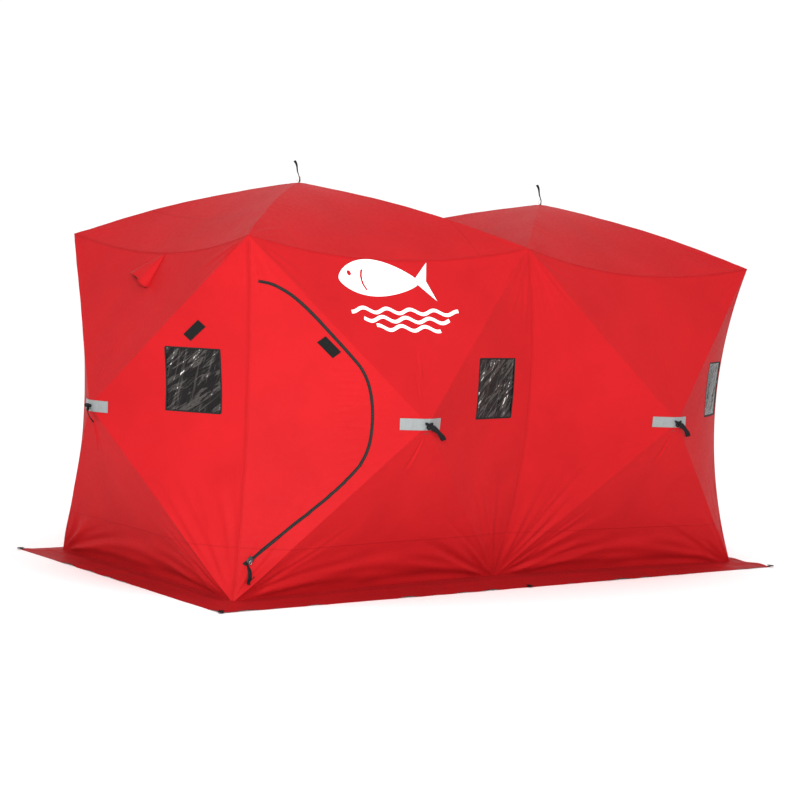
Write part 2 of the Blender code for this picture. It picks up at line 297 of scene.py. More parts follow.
@dataclass(frozen=True)
class CoatedCloth:
    """Coated polyester cloth: fine weave, soft creases with painted shade in their hollows, and a satin
    face.
    """

    name: str
    color: tuple[float, float, float]
    thread: float = 0.0011
    crease: float = 0.0016
    roughness: float = 0.60
    level_seams: tuple[float, ...] = ()
    upright_seams: tuple[float, ...] = ()
    stitched: bool = False

    def make(self) -> bpy.types.Material:
        """The material."""
        graph = Graph(self.name)
        flat = graph.uv()
        turns = 2 * math.pi / self.thread
        warp = (graph.axis(flat, 0) * turns).wave()
        weft = (graph.axis(flat, 1) * turns).wave()
        weave = warp * weft
        broad = graph.noise(flat, 2.3, 2.0)
        creases = graph.noise(graph.uv((1, 1, 1), 0.6), 9.0, 4.0, 0.6, 0.8)
        fine = graph.noise(flat, 46.0, 3.0, 0.6)
        shade = graph.remap(broad, 0.3, 0.7, 0.93, 1.05)
        # The darker red serves both the weave's darker threads and the painted shade in the creases.
        deep = tuple(part * 0.80 for part in self.color)
        tone = graph.blend(graph.remap(weave, -1.0, 1.0, 0.0, 0.35), self.color, deep)
        # Painted shade: where the crease relief is low, the colour is mixed up to 16% towards the darker
        # red.
        tone = graph.blend(graph.remap(creases, 0.35, 0.65, 0.16, 0.0), tone, deep)
        shaded = graph.add("ShaderNodeVectorMath", {"operation": "SCALE"},
                           {0: tone, "Scale": shade})
        ridges = self.seams(graph, flat)
        if ridges:
            dark = tuple(part * 0.45 for part in self.color)
            shaded = graph.blend(graph.remap(ridges, 0.0, 1.0, 0.0, 0.20), shaded, dark)
        rough = graph.remap(fine, 0.3, 0.7, self.roughness - 0.05, self.roughness + 0.07)
        relief = graph.bump(creases, self.crease, 0.55)
        relief = graph.bump(fine, 0.0003, 0.35, relief)
        relief = graph.bump(weave, 0.00012, 0.25, relief)
        if ridges:
            relief = graph.bump(ridges, 0.0012, 0.6, relief)
        graph.set(base_color=shaded, roughness=rough, normal=relief, sheen_weight=0.01,
                  sheen_roughness=0.4, sheen_tint=(1.0, 0.45, 0.4), specular_ior_level=0.05)
        return graph.material

    def seams(self, graph: Graph, flat: Wire) -> Wire | None:
        """Stitched lines across the cloth, 1 on a line and 0 off it."""
        total = None
        lines = [(1, place) for place in self.level_seams]
        lines += [(0, place) for place in self.upright_seams]
        if self.stitched:
            lines += [(1, 0.0030), (1, -0.0030)]
        for index, place in lines:
            gap = graph.add("ShaderNodeMath", {"operation": "ABSOLUTE"},
                            {0: graph.axis(flat, index) - place})
            breadth = 0.0006 if self.stitched else 0.0022
            line = graph.remap(gap, breadth, breadth * 2.2, 1.0, 0.0)
            if self.stitched:
                line = line * ((graph.axis(flat, 0) * (2 * math.pi / 0.0042)).wave() > -0.35)
            total = line if total is None else total + line
        return total


@dataclass(frozen=True)
class WindowFilm:
    """Clear film, painted near-black as painted shade for the dark inside behind it, with long creases,
    lighter grey streaks along them and small painted glints.
    """

    name: str = "window_film"

    def make(self) -> bpy.types.Material:
        """The material."""
        graph = Graph(self.name)
        first = graph.noise(graph.uv((2.2, 17.0, 1), -0.72), 2.6, 4.0, 0.6, 0.9)
        second = graph.noise(graph.uv((1.8, 21.0, 1), -1.30), 2.2, 4.0, 0.6, 0.9)
        ridge = graph.remap(first, 0.50, 0.57) * graph.remap(first, 0.66, 0.58)
        cross = graph.remap(second, 0.54, 0.60) * graph.remap(second, 0.68, 0.61)
        streak = graph.remap(ridge + cross * 0.6, 0.0, 1.1)
        dust = graph.noise(graph.uv(), 130.0, 2.0)
        # Painted shade: the film's near-black colour stands for the shaded inside seen through it; the
        # lighter grey streaks follow the creases.
        tone = graph.blend(streak, (0.008, 0.007, 0.007), (0.060, 0.055, 0.052))
        # Painted highlight: small near-white glints where both crease noises peak together.
        painted_glint = graph.remap(first * second, 0.36, 0.40)
        tone = graph.blend(painted_glint, tone, (0.60, 0.58, 0.56))
        relief = graph.bump(first + second * 0.6, 0.006, 0.8)
        graph.set(base_color=tone, roughness=graph.remap(dust, 0.3, 0.7, 0.12, 0.26),
                  normal=relief, specular_ior_level=0.10, alpha=0.95)
        return graph.material


@dataclass(frozen=True)
class Webbing:
    """Woven tape: ribs across and a diagonal weave."""

    name: str
    color: tuple[float, float, float]
    rib: float = 0.0016
    roughness: float = 0.78

    def make(self) -> bpy.types.Material:
        """The material."""
        graph = Graph(self.name)
        flat = graph.uv()
        turns = 2 * math.pi / self.rib
        across, along = graph.axis(flat, 0) * turns, graph.axis(flat, 1) * turns
        ribs = (across + along).wave() * (across - along).wave()
        wear = graph.noise(flat, 60.0, 3.0)
        light = tuple(min(1.0, part * 1.9 + 0.003) for part in self.color)
        tone = graph.blend(graph.remap(ribs, -0.6, 1.0, 0.0, 0.8), self.color, light)
        tone = graph.blend(graph.remap(wear, 0.55, 0.8, 0.0, 0.5), tone, light)
        graph.set(base_color=tone, roughness=self.roughness,
                  normal=graph.bump(ribs, 0.0004, 0.6), specular_ior_level=0.08)
        return graph.material


@dataclass(frozen=True)
class HookPatch:
    """The fuzzy loop side of a hook-and-loop fastener."""

    name: str = "loop_patch"

    def make(self) -> bpy.types.Material:
        """The material."""
        graph = Graph(self.name)
        fuzz = graph.noise(graph.uv(), 420.0, 4.0, 0.75, 1.5)
        tone = graph.blend(graph.remap(fuzz, 0.4, 0.7), (0.004, 0.004, 0.004), (0.018, 0.018, 0.018))
        graph.set(base_color=tone, roughness=0.95, normal=graph.bump(fuzz, 0.0012, 0.9),
                  sheen_weight=0.03, sheen_roughness=0.6, specular_ior_level=0.05)
        return graph.material


@dataclass(frozen=True)
class Reflector:
    """Grey retro-reflective tape with a fine honeycomb."""

    name: str = "reflective_tape"

    def make(self) -> bpy.types.Material:
        """The material."""
        graph = Graph(self.name)
        cells = graph.add("ShaderNodeTexVoronoi", {"feature": "DISTANCE_TO_EDGE"},
                          {"Vector": graph.uv(), "Scale": 330.0})
        edge = graph.remap(cells, 0.02, 0.10)
        scuff = graph.noise(graph.uv(), 22.0, 4.0, 0.65)
        tone = graph.blend(edge, (0.165, 0.180, 0.180), (0.25, 0.265, 0.265))
        tone = graph.blend(graph.remap(scuff, 0.5, 0.75, 0.0, 0.45), tone, (0.18, 0.19, 0.19))
        graph.set(base_color=tone, roughness=graph.remap(scuff, 0.3, 0.7, 0.34, 0.5),
                  metallic=0.2, normal=graph.bump(edge, 0.0002, 0.4),
                  specular_ior_level=0.2)
        return graph.material


@dataclass(frozen=True)
class Moulded:
    """Moulded plastic or metal with a fine grain and worn edges."""

    name: str
    color: tuple[float, float, float]
    roughness: float = 0.45
    metallic: float = 0.0
    grain: float = 900.0

    def make(self) -> bpy.types.Material:
        """The material."""
        graph = Graph(self.name)
        where = graph.place()
        grain = graph.noise(where, self.grain, 2.0)
        smudge = graph.noise(where, 35.0, 4.0, 0.6)
        worn = graph.add("ShaderNodeNewGeometry", output="Pointiness")
        light = tuple(min(1.0, part * 1.8 + 0.02) for part in self.color)
        tone = graph.blend(graph.remap(worn, 0.52, 0.62, 0.0, 0.6), self.color, light)
        tone = graph.blend(graph.remap(smudge, 0.5, 0.75, 0.0, 0.3), tone, light)
        graph.set(base_color=tone, metallic=self.metallic,
                  roughness=graph.remap(smudge, 0.3, 0.7, self.roughness - 0.08,
                                        self.roughness + 0.1),
                  normal=graph.bump(grain, 0.00015, 0.3))
        return graph.material


@dataclass(frozen=True)
class Print:
    """Screen-printed ink that lets the weave show."""

    name: str = "white_print"
    color: tuple[float, float, float] = (0.86, 0.86, 0.86)

    def make(self) -> bpy.types.Material:
        """The material."""
        graph = Graph(self.name)
        flat = graph.uv()
        turns = 2 * math.pi / 0.0011
        weave = (graph.axis(flat, 0) * turns).wave() * (graph.axis(flat, 1) * turns).wave()
        patchy = graph.noise(flat, 70.0, 4.0, 0.7)
        tone = graph.blend(graph.remap(patchy, 0.60, 0.80, 0.0, 0.35), self.color,
                           (0.70, 0.62, 0.60))
        graph.set(base_color=tone, roughness=0.55, normal=graph.bump(weave, 0.00012, 0.3))
        return graph.material


CLOTH_RED = (0.400, 0.0085, 0.0112)
SKIRT_RED = (0.33, 0.0070, 0.0095)


class Finishes:
    """Every material of the shelter, made once."""

    def __init__(self) -> None:
        """Make the materials."""
        red = CLOTH_RED
        self.cloth = CoatedCloth("red_cloth", red, level_seams=(-0.63,)).make()
        self.roof = CoatedCloth("red_roof_cloth", red, upright_seams=(-0.58, 0.58)).make()
        self.hem = CoatedCloth("red_hem", red,
                               stitched=True).make()
        self.skirt = CoatedCloth("skirt_cloth", SKIRT_RED, crease=0.0035).make()
        self.seam = CoatedCloth("red_piping", tuple(part * 0.92 for part in red)).make()
        self.film = WindowFilm().make()
        self.binding = Webbing("black_binding", (0.010, 0.010, 0.010)).make()
        self.strap = Webbing("black_webbing", (0.008, 0.008, 0.009), 0.0022).make()
        self.loop = HookPatch().make()
        self.reflector = Reflector().make()
        self.hub = Moulded("hub_nylon", (0.012, 0.012, 0.013), 0.5).make()
        self.rod = Moulded("rod_glass_fibre", (0.030, 0.031, 0.033), 0.35, 0.0, 260.0).make()
        self.ferrule = Moulded("ferrule_alloy", (0.42, 0.42, 0.43), 0.35, 0.9).make()
        self.zip = Moulded("zip_coil", (0.010, 0.010, 0.010), 0.4).make()
        self.metal = Moulded("zip_metal", (0.30, 0.30, 0.31), 0.3, 1.0).make()
        self.cord = Webbing("pale_cord", (0.62, 0.60, 0.55), 0.0012, 0.8).make()
        self.print = Print().make()


# ---------------------------------------------------------------- the cloth's shape


def smooth(value: Array) -> Array:
    """A soft step from 0 to 1."""
    held = np.clip(value, 0.0, 1.0)
    return held * held * (3.0 - 2.0 * held)


@dataclass(frozen=True)
class Plan:
    """The shelter's main sizes, in metres."""

    bay: float = 1.78
    depth: float = 0.89
    corner_top: float = 1.79
    middle_top: float = 1.82
    base: float = 0.010
    roof_hub: float = 2.125
    wall_hub: float = 0.90
    bulge: float = 0.34
    middle_base_in: float = 0.133
    middle_top_out: float = 0.015
    corner_sag: float = 0.10
    seam_bulge: float = 0.14
    eave_drop: float = 0.095
    eave_in: float = 0.04
    valley_sag: float = 0.08
    base_sag: float = 0.03
    roof_bow: float = 0.035

    def corner(self, x_side: int, y_side: int, top: bool) -> Array:
        """A corner of the cloth shell."""
        spread = self.middle_top_out if top else -self.middle_base_in
        deep = self.depth if x_side else self.depth + spread
        high = self.corner_top if x_side else self.middle_top
        return np.array((x_side * self.bay, y_side * deep, high if top else self.base))


PLAN = Plan()


@dataclass(frozen=True)
class Fold:
    """One tension fold, in panel coordinates.

    Fields:
        start, end: Where it runs from and to.
        width: Half its breadth.
        height: How far it stands out; below 0 for a crease.
        bend: How far its middle sways to its left.
        early: Above 1 to be strongest near its start.
    """

    start: tuple[float, float]
    end: tuple[float, float]
    width: float
    height: float
    bend: float = 0.0
    early: float = 1.0

    def rise(self, right: Array, up: Array) -> Array:
        """How far it lifts the cloth at the given places."""
        run = (self.end[0] - self.start[0], self.end[1] - self.start[1])
        length = math.hypot(*run)
        unit = (run[0] / length, run[1] / length)
        off = (right - self.start[0], up - self.start[1])
        along = np.clip((off[0] * unit[0] + off[1] * unit[1]) / length, 0.0, 1.0)
        beyond = (off[0] * unit[0] + off[1] * unit[1]) / length - along
        across = unit[0] * off[1] - unit[1] * off[0] - self.bend * 4 * along * (1 - along)
        taper = np.sin(math.pi * along ** (1.0 / self.early)) ** 0.8
        spread = self.width * (0.55 + 0.9 * along)
        near = across / spread
        shape = np.exp(-near * near) - 0.55 * np.exp(-((near - 1.5) ** 2) * 1.2)
        return self.height * shape * taper * np.exp(-(beyond * length / self.width) ** 2)


@dataclass
class FoldMaker:
    """Draws the folds of one panel from a seed."""

    seed: int
    corners: Array
    folds: list[Fold] = field(default_factory=list)

    def __post_init__(self) -> None:
        """Start the random numbers."""
        self.chance = np.random.default_rng(self.seed)

    def fan(self, index: int, count: int, reach: float, height: float, narrow: float = 0.011,
            swing: tuple[float, float] = (0.04, 0.96)) -> None:
        """Add folds that spread from a corner.

        Args:
            index: The corner.
            count: How many folds.
            reach: The longest fold.
            height: The highest fold.
            narrow: The half breadth at its start.
            swing: The shares of the corner's angle between which they lie.
        """
        corner = self.corners[index]
        one = self.corners[(index + 1) % 4] - corner
        other = self.corners[index - 1] - corner
        first, last = math.atan2(one[1], one[0]), math.atan2(other[1], other[0])
        turn = (last - first) % (2 * math.pi)
        for k in range(count):
            share = swing[0] + (swing[1] - swing[0]) * (k + self.chance.uniform(0.1, 0.9)) / count
            angle = first + turn * share
            near = self.chance.uniform(0.015, 0.09)
            far = near + reach * self.chance.uniform(0.4, 1.0)
            ray = np.array((math.cos(angle), math.sin(angle)))
            begin, finish = corner + ray * near, corner + ray * far
            self.folds.append(Fold(tuple(begin), tuple(finish),
                                   narrow * self.chance.uniform(0.7, 1.4),
                                   height * self.chance.uniform(0.4, 1.0)
                                   * self.chance.choice((1.0, 1.0, -0.8)),
                                   self.chance.uniform(-0.02, 0.02), 1.5))

    def ladder(self, start: tuple[float, float], end: tuple[float, float], count: int,
               length: tuple[float, float], turn: float, height: float,
               narrow: float = 0.007) -> None:
        """Add short folds side by side along a line.

        Args:
            start, end: The line's ends.
            count: How many folds.
            length: The shortest and longest.
            turn: Their direction, in radians from rightward.
            height: The highest.
            narrow: Half their breadth.
        """
        for k in range(count):
            share = (k + self.chance.uniform(0.0, 1.0)) / count
            foot = (start[0] + (end[0] - start[0]) * share, start[1] + (end[1] - start[1]) * share)
            angle = turn + self.chance.uniform(-0.12, 0.12)
            long = self.chance.uniform(*length)
            tip = (foot[0] + math.cos(angle) * long, foot[1] + math.sin(angle) * long)
            self.folds.append(Fold(foot, tip, narrow * self.chance.uniform(0.7, 1.5),
                                   height * self.chance.uniform(0.35, 1.0),
                                   self.chance.uniform(-0.012, 0.012)))


@dataclass
class Panel:
    """One sprung cloth panel: four facets that meet at a hub.

    Fields:
        name: Its name.
        ends: The plan corners at its foot, left then right; all four for a roof.
        facing: The way it faces.
        flat_start: The share of each facet, from its seam, that stays still when the hub moves.
    """

    name: str
    ends: tuple[tuple[int, int], ...]
    facing: tuple[float, float, float]
    flat_start: float = 0.12
    folds: list[Fold] = field(default_factory=list)

    def __post_init__(self) -> None:
        """Work out the corners, the crown and the panel's axes."""
        self.is_roof = len(self.ends) == 4
        self.normal = np.array(self.facing, float)
        self.up = np.array((0.0, 1.0, 0.0) if self.is_roof else (0.0, 0.0, 1.0))
        self.right = np.cross(self.up, self.normal)
        middle = np.mean(np.array(self.ends, float), axis=0)
        if self.is_roof:
            self.corners = np.array([PLAN.corner(x, y, True) for x, y in self.ends])
            self.crown = np.array((middle[0] * PLAN.bay, 0.0, PLAN.roof_hub))
        else:
            (x_left, y_left), (x_right, y_right) = self.ends
            self.corners = np.array([
                PLAN.corner(x_left, y_left, False), PLAN.corner(x_right, y_right, False),
                PLAN.corner(x_right, y_right, True), PLAN.corner(x_left, y_left, True)])
            flat = np.array((middle[0] * PLAN.bay, middle[1] * PLAN.depth, PLAN.wall_hub))
            self.crown = flat + self.normal * PLAN.bulge
        self.flat_corners = self.to_flat(self.corners)
        self.pulls = np.array([self._pull(k) for k in range(4)])
        self.height = PLAN.roof_hub - PLAN.corner_top if self.is_roof else PLAN.bulge

    def to_flat(self, points: Array) -> Array:
        """Panel coordinates, right and up, of places."""
        off = points - self.crown
        return np.stack((off @ self.right, off @ self.up), axis=-1)

    def _pull(self, side: int) -> Array:
        """How far the middle of a seam is pulled from a straight line."""
        start, end = self.corners[side], self.corners[(side + 1) % 4]
        middle = (start + end) / 2
        x_side = math.copysign(1, middle[0]) if abs(middle[0]) > PLAN.bay / 2 + 0.1 else 0
        y_side = math.copysign(1, middle[1]) if abs(middle[1]) > 0.5 else 0
        if abs(start[2] - end[2]) > 1:
            if x_side:
                return np.array((-x_side, -y_side, 0.0)) * PLAN.corner_sag
            return np.array((0.0, y_side, 0.0)) * PLAN.seam_bulge
        if middle[2] < 1:
            return np.array((-x_side, -y_side, 0.0)) * PLAN.base_sag
        if not x_side and not y_side:
            return np.array((0.0, 0.0, -PLAN.valley_sag))
        return np.array((-x_side * PLAN.eave_in, -y_side * PLAN.eave_in, -PLAN.eave_drop))

    def relief(self, right: Array, up: Array, out: Array) -> Array:
        """Folds, slow waves and the rounded crown, along the panel's normal.

        Args:
            right: Places to the right, in metres.
            up: Places upwards, in metres.
            out: The share of the way from the crown to the seam.

        Returns:
            Heights along the normal, in metres.
        """
        total = np.zeros_like(right)
        for fold in self.folds:
            total += fold.rise(right, up)
        shift = self.crown[0] * 3.1 + self.crown[1] * 1.7 + self.normal[0]
        total += 0.0016 * np.sin(9.5 * right + 4.0 * up + shift) * np.sin(7.3 * up - shift)
        total += 0.0008 * np.sin(21.0 * right - 13.0 * up + 2 * shift) * np.sin(17.0 * up + shift)
        reach = np.hypot(right, up)
        total *= smooth((1.0 - out) / 0.045) * (0.15 + 0.85 * smooth(reach / 0.12))
        soft = 0.014
        return total - (np.sqrt(reach * reach + soft * soft) - reach) * 0.36

    def cloth(self, side: int, along: Array, out: Array, lift: Array | float = 0.0,
              relief: float = 1.0) -> Array:
        """Points on a facet.

        Args:
            side: The facet.
            along: The share along its seam, counter-clockwise.
            out: The share from the crown to the seam.
            lift: How far to stand off the cloth.
            relief: How much of the folds to follow.

        Returns:
            The points.
        """
        start, end = self.corners[side], self.corners[(side + 1) % 4]
        seam = start + (end - start) * along[:, None]
        place = self.crown + (seam - self.crown) * out[:, None]
        place = place + self.pulls[side] * (4 * along * (1 - along) * out * out)[:, None]
        if self.is_roof:
            place = place + self.normal * (4 * out * (1 - out) * PLAN.roof_bow)[:, None]
        flat = self.to_flat(place)
        rise = self.relief(flat[:, 0], flat[:, 1], out) * relief + lift
        return place + self.normal * np.asarray(rise)[:, None]

    def facet_of(self, right: Array, up: Array) -> Array:
        """The facet that each place lies in."""
        found = np.zeros(len(right), int)
        for side in range(4):
            one, other = self.flat_corners[side], self.flat_corners[(side + 1) % 4]
            inside = (one[0] * up - one[1] * right >= 0) & (right * other[1] - up * other[0] > 0)
            found[inside] = side
        return found

    def solve(self, side: int, right: Array, up: Array) -> tuple[Array, Array]:
        """The share along the seam, and out to it, of places in panel coordinates.

        Args:
            side: The facet.
            right: Places to the right, in metres.
            up: Places upwards, in metres.

        Returns:
            The share along the seam and the share out to it.
        """
        start, end = self.flat_corners[side], self.flat_corners[(side + 1) % 4]
        pull = np.array((self.pulls[side] @ self.right, self.pulls[side] @ self.up))
        edge = end - start
        along, out = np.full(len(right), 0.5), np.full(len(right), 0.5)
        for _ in range(14):
            hump = 4 * along * (1 - along)
            miss_x = out * (start[0] + edge[0] * along) + pull[0] * hump * out * out - right
            miss_y = out * (start[1] + edge[1] * along) + pull[1] * hump * out * out - up
            d_out = (start[0] + edge[0] * along + 2 * pull[0] * hump * out,
                     start[1] + edge[1] * along + 2 * pull[1] * hump * out)
            slope = 4 * (1 - 2 * along) * out * out
            d_along = (out * edge[0] + pull[0] * slope, out * edge[1] + pull[1] * slope)
            scale = d_out[0] * d_along[1] - d_out[1] * d_along[0]
            scale = np.where(np.abs(scale) < 1e-9, 1e-9, scale)
            out = out - (miss_x * d_along[1] - miss_y * d_along[0]) / scale
            along = along - (d_out[0] * miss_y - d_out[1] * miss_x) / scale
            out = np.clip(out, 0.004, 1.03)
            along = np.clip(along, -0.02, 1.02)
        return along, out

    def on_cloth(self, right: Array, up: Array, lift: Array | float = 0.0,
                 side: int | None = None) -> Array:
        """Points of the cloth's outer face at panel coordinates, stood off by lift.

        Args:
            right: Places to the right, in metres.
            up: Places upwards, in metres.
            lift: How far they stand off.
            side: The facet.

        Returns:
            The points.
        """
        places = np.zeros((len(right), 3))
        lifts = np.broadcast_to(np.asarray(lift, float), right.shape)
        sides = self.facet_of(right, up) if side is None else np.full(len(right), side)
        for facet in range(4):
            chosen = sides == facet
            if chosen.any():
                along, out = self.solve(facet, right[chosen], up[chosen])
                places[chosen] = self.cloth(facet, along, out, lifts[chosen])
        return places

    def gradient(self, side: int) -> tuple[tuple[float, ...], tuple[float, ...]]:
        """Where a facet starts and stops following the hub, the same along both its rods."""
        grid = np.array([self.flat_corners[side], self.flat_corners[(side + 1) % 4]])
        slope = np.linalg.solve(grid, np.ones(2))
        reach = slope / (slope @ slope) * (1 - self.flat_start)
        start = self.crown + self.right * reach[0] + self.up * reach[1]
        return tuple(start), tuple(self.crown)


# ---------------------------------------------------------------- making pieces


class Maker:
    """Turns meshes into finished pieces and reports them."""

    def __init__(self, finishes: Finishes) -> None:
        """Keep the finishes."""
        self.finish = finishes
        self.count = 0

    def piece(self, bm: bmesh.types.BMesh, name: str, slot: str,
              materials: Sequence[bpy.types.Material], thickness: float = 0.0,
              rounded: float = 0.0, smoothed: bool = True) -> bpy.types.Object:
        """Make an object of a mesh.

        Args:
            bm: The mesh, which is freed.
            name: The piece's name.
            slot: The record's material slot; not used.
            materials: Its materials.
            thickness: A wall's thickness, grown inwards.
            rounded: A bevel's width.
            smoothed: Whether faces shade smoothly.

        Returns:
            The object.
        """
        for face in bm.faces:
            face.smooth = smoothed
        for edge in bm.edges:
            edge.smooth = smoothed and not edge.is_boundary
        mesh = bpy.data.meshes.new(name)
        bm.to_mesh(mesh)
        bm.free()
        piece = bpy.data.objects.new(name, mesh)
        bpy.context.scene.collection.objects.link(piece)
        for material in materials:
            mesh.materials.append(material)
        if thickness:
            wall = piece.modifiers.new("Thickness", "SOLIDIFY")
            wall.thickness = thickness
            wall.offset = -1
        if rounded:
            bevel = piece.modifiers.new("Edge", "BEVEL")
            bevel.width = rounded
            bevel.segments = 2
            bevel.limit_method = "ANGLE"
        self.count += 1
        LOG.info("%s: %d faces", name, len(mesh.polygons))
        return piece


FACET_COLUMNS, FACET_ROWS = 110, 64
FACET_START = 0.030
FACET_CROWDING = 0.92


def grid_mesh(columns: int, rows: int) -> tuple[bmesh.types.BMesh, Array, Array]:
    """A grid and the shares, 0 to 1, of each of its corners across and up."""
    bm = bmesh.new()
    bmesh.ops.create_grid(bm, x_segments=columns, y_segments=rows, size=0.5)
    flat = np.array([vert.co[:2] for vert in bm.verts]) + 0.5
    return bm, flat[:, 0], flat[:, 1]


def set_places(bm: bmesh.types.BMesh, places: Array) -> None:
    """Move every corner of a mesh."""
    for vert, place in zip(bm.verts, places):
        vert.co = place


def set_uv(bm: bmesh.types.BMesh, flat: Array) -> None:
    """Give a mesh a UV map, in metres, from one pair of numbers for each corner."""
    layer = bm.loops.layers.uv.new("UVMap")
    for index, vert in enumerate(bm.verts):
        vert.index = index
    for face in bm.faces:
        for loop in face.loops:
            loop[layer].uv = flat[loop.vert.index]


def facet_mesh(panel: Panel, side: int) -> bmesh.types.BMesh:
    """One facet of a panel, from its crown to its seam, facing outwards."""
    bm, across, up = grid_mesh(FACET_COLUMNS, FACET_ROWS)
    out = FACET_START + (1.0 - FACET_START) * (1.0 - up) ** FACET_CROWDING
    places = panel.cloth(side, 1.0 - across, out, 0.0, 1.0)
    lay_out(bm, places, panel.to_flat(places), panel.normal)
    return bm


def face_out(bm: bmesh.types.BMesh, direction: Array) -> None:
    """Turn every face of a sheet over if the sheet faces away from a direction."""
    bm.normal_update()
    total = sum((face.normal * face.calc_area() for face in bm.faces), Vector())
    if total.dot(Vector(direction)) < 0:
        bmesh.ops.reverse_faces(bm, faces=bm.faces[:])


def lay_out(bm: bmesh.types.BMesh, places: Array, flat: Array, outwards: Array) -> None:
    """Move a sheet's corners, give it its UV map and turn its outer face outwards.

    Args:
        bm: The sheet.
        places: Where each corner goes.
        flat: Each corner's place on the UV map, in metres.
        outwards: The direction that the outer face looks in.
    """
    set_places(bm, places)
    set_uv(bm, flat)
    face_out(bm, outwards)


def sheet_area(bm: bmesh.types.BMesh) -> float:
    return sum(face.calc_area() for face in bm.faces)


@dataclass(frozen=True)
class Outline:
    """A closed outline with no hollows, in panel coordinates, counter-clockwise."""

    points: tuple[tuple[float, float], ...]

    def inside(self, right: Array, up: Array, grow: float = 0.0) -> Array:
        """Whether places lie in it."""
        held = np.ones(len(right), bool)
        for (x0, y0), (x1, y1) in self.edges():
            length = math.hypot(x1 - x0, y1 - y0)
            held &= ((x1 - x0) * (up - y0) - (y1 - y0) * (right - x0)) / length > -grow
        return held

    def edges(self) -> list[tuple[tuple[float, float], tuple[float, float]]]:
        """Its sides."""
        return list(zip(self.points, self.points[1:] + self.points[:1]))

    def grown(self, step: float) -> Outline:
        """The outline moved outwards."""
        lines = []
        for (x0, y0), (x1, y1) in self.edges():
            length = math.hypot(x1 - x0, y1 - y0)
            nx, ny = (y1 - y0) / length, -(x1 - x0) / length
            lines.append((nx, ny, nx * x0 + ny * y0 + step))
        points = []
        for (a, b, c), (d, e, f) in zip(lines[-1:] + lines[:-1], lines):
            scale = a * e - b * d
            points.append(((c * e - b * f) / scale, (a * f - c * d) / scale))
        return Outline(tuple(points))

    def cut(self, bm: bmesh.types.BMesh, panel: Panel, keep_inside: bool) -> None:
        """Cut a facet along the outline, and keep what is inside it or outside it.

        Args:
            bm: The facet's mesh, with its UV map in panel coordinates.
            panel: The panel.
            keep_inside: Which part to keep.
        """
        for (x0, y0), (x1, y1) in self.edges():
            place = panel.crown + panel.right * x0 + panel.up * y0
            across = panel.right * (y1 - y0) - panel.up * (x1 - x0)
            bmesh.ops.bisect_plane(bm, geom=bm.verts[:] + bm.edges[:] + bm.faces[:], dist=1e-6,
                                   plane_co=Vector(place), plane_no=Vector(across).normalized())
        centres = np.array([face.calc_center_median() for face in bm.faces])
        flat = panel.to_flat(centres)
        chosen = self.inside(flat[:, 0], flat[:, 1])
        bm.faces.ensure_lookup_table()
        drop = [bm.faces[k] for k in np.nonzero(chosen != keep_inside)[0]]
        bmesh.ops.delete(bm, geom=drop, context="FACES")


def resample(path: Sequence[Sequence[float]], step: float) -> Array:
    """Points along a path at even steps, with its corners kept close."""
    points = np.array(path, float)
    gaps = np.linalg.norm(np.diff(points, axis=0), axis=1)
    run = np.concatenate(([0.0], np.cumsum(gaps)))
    count = max(2, int(math.ceil(run[-1] / step)) + 1)
    marks = np.linspace(0, run[-1], count)
    return np.stack([np.interp(marks, run, points[:, k]) for k in range(points.shape[1])], axis=1)


def rounded_path(path: Sequence[Sequence[float]], passes: int = 3) -> Array:
    """A path with its corners cut, again and again, into a smooth curve."""
    points = np.array(path, float)
    for _ in range(passes):
        ahead = points[:-1] * 0.75 + points[1:] * 0.25
        behind = points[:-1] * 0.25 + points[1:] * 0.75
        inner = np.stack((ahead, behind), axis=1).reshape(-1, points.shape[1])
        points = np.vstack((points[:1], inner[1:-1], points[-1:]))
    return points


def band_mesh(panel: Panel, path: Array, width: float, lift: float, strands: int = 4,
              crowned: float = 0.0, shift: float = 0.0, side: int | None = None,
              closed: bool = False) -> bmesh.types.BMesh:
    """A band sewn flat on the cloth.

    Args:
        panel: The panel.
        path: Its middle line, in panel coordinates.
        width: Its breadth.
        lift: How far its middle stands off the cloth.
        strands: Faces across it.
        crowned: How much lower its edges lie than its middle.
        shift: How far it lies to the left of the path.
        side: The facet, where it all lies in one.
        closed: Whether the path ends where it starts.

    Returns:
        The band's outer face.
    """
    count = len(path)
    bm, across, up = grid_mesh(count - 1, strands)
    index = np.clip(np.rint(across * (count - 1)).astype(int), 0, count - 1)
    ahead = np.roll(path, -1, axis=0) - path
    behind = path - np.roll(path, 1, axis=0)
    if closed:
        ahead[-1], behind[0] = ahead[0], behind[-1]
    else:
        ahead[-1], behind[0] = behind[-1], ahead[0]
    ahead /= np.linalg.norm(ahead, axis=1, keepdims=True)
    behind /= np.linalg.norm(behind, axis=1, keepdims=True)
    run = ahead + behind
    run /= np.linalg.norm(run, axis=1, keepdims=True)
    mitre = 1.0 / np.clip(np.sum(run * ahead, axis=1), 0.5, 1.0)
    left = np.stack((-run[:, 1], run[:, 0]), axis=1) * mitre[:, None]
    offset = (up - 0.5) * width
    flat = path[index] + left[index] * (offset + shift)[:, None]
    rise = lift - crowned * (2 * up - 1) ** 2
    set_places(bm, panel.on_cloth(flat[:, 0], flat[:, 1], rise, side))
    gaps = np.linalg.norm(np.diff(path, axis=0), axis=1)
    travel = np.concatenate(([0.0], np.cumsum(gaps)))
    set_uv(bm, np.stack((travel[index], offset), axis=1))
    if closed:
        bmesh.ops.remove_doubles(bm, verts=bm.verts[:], dist=1e-5)
    face_out(bm, panel.normal)
    return bm


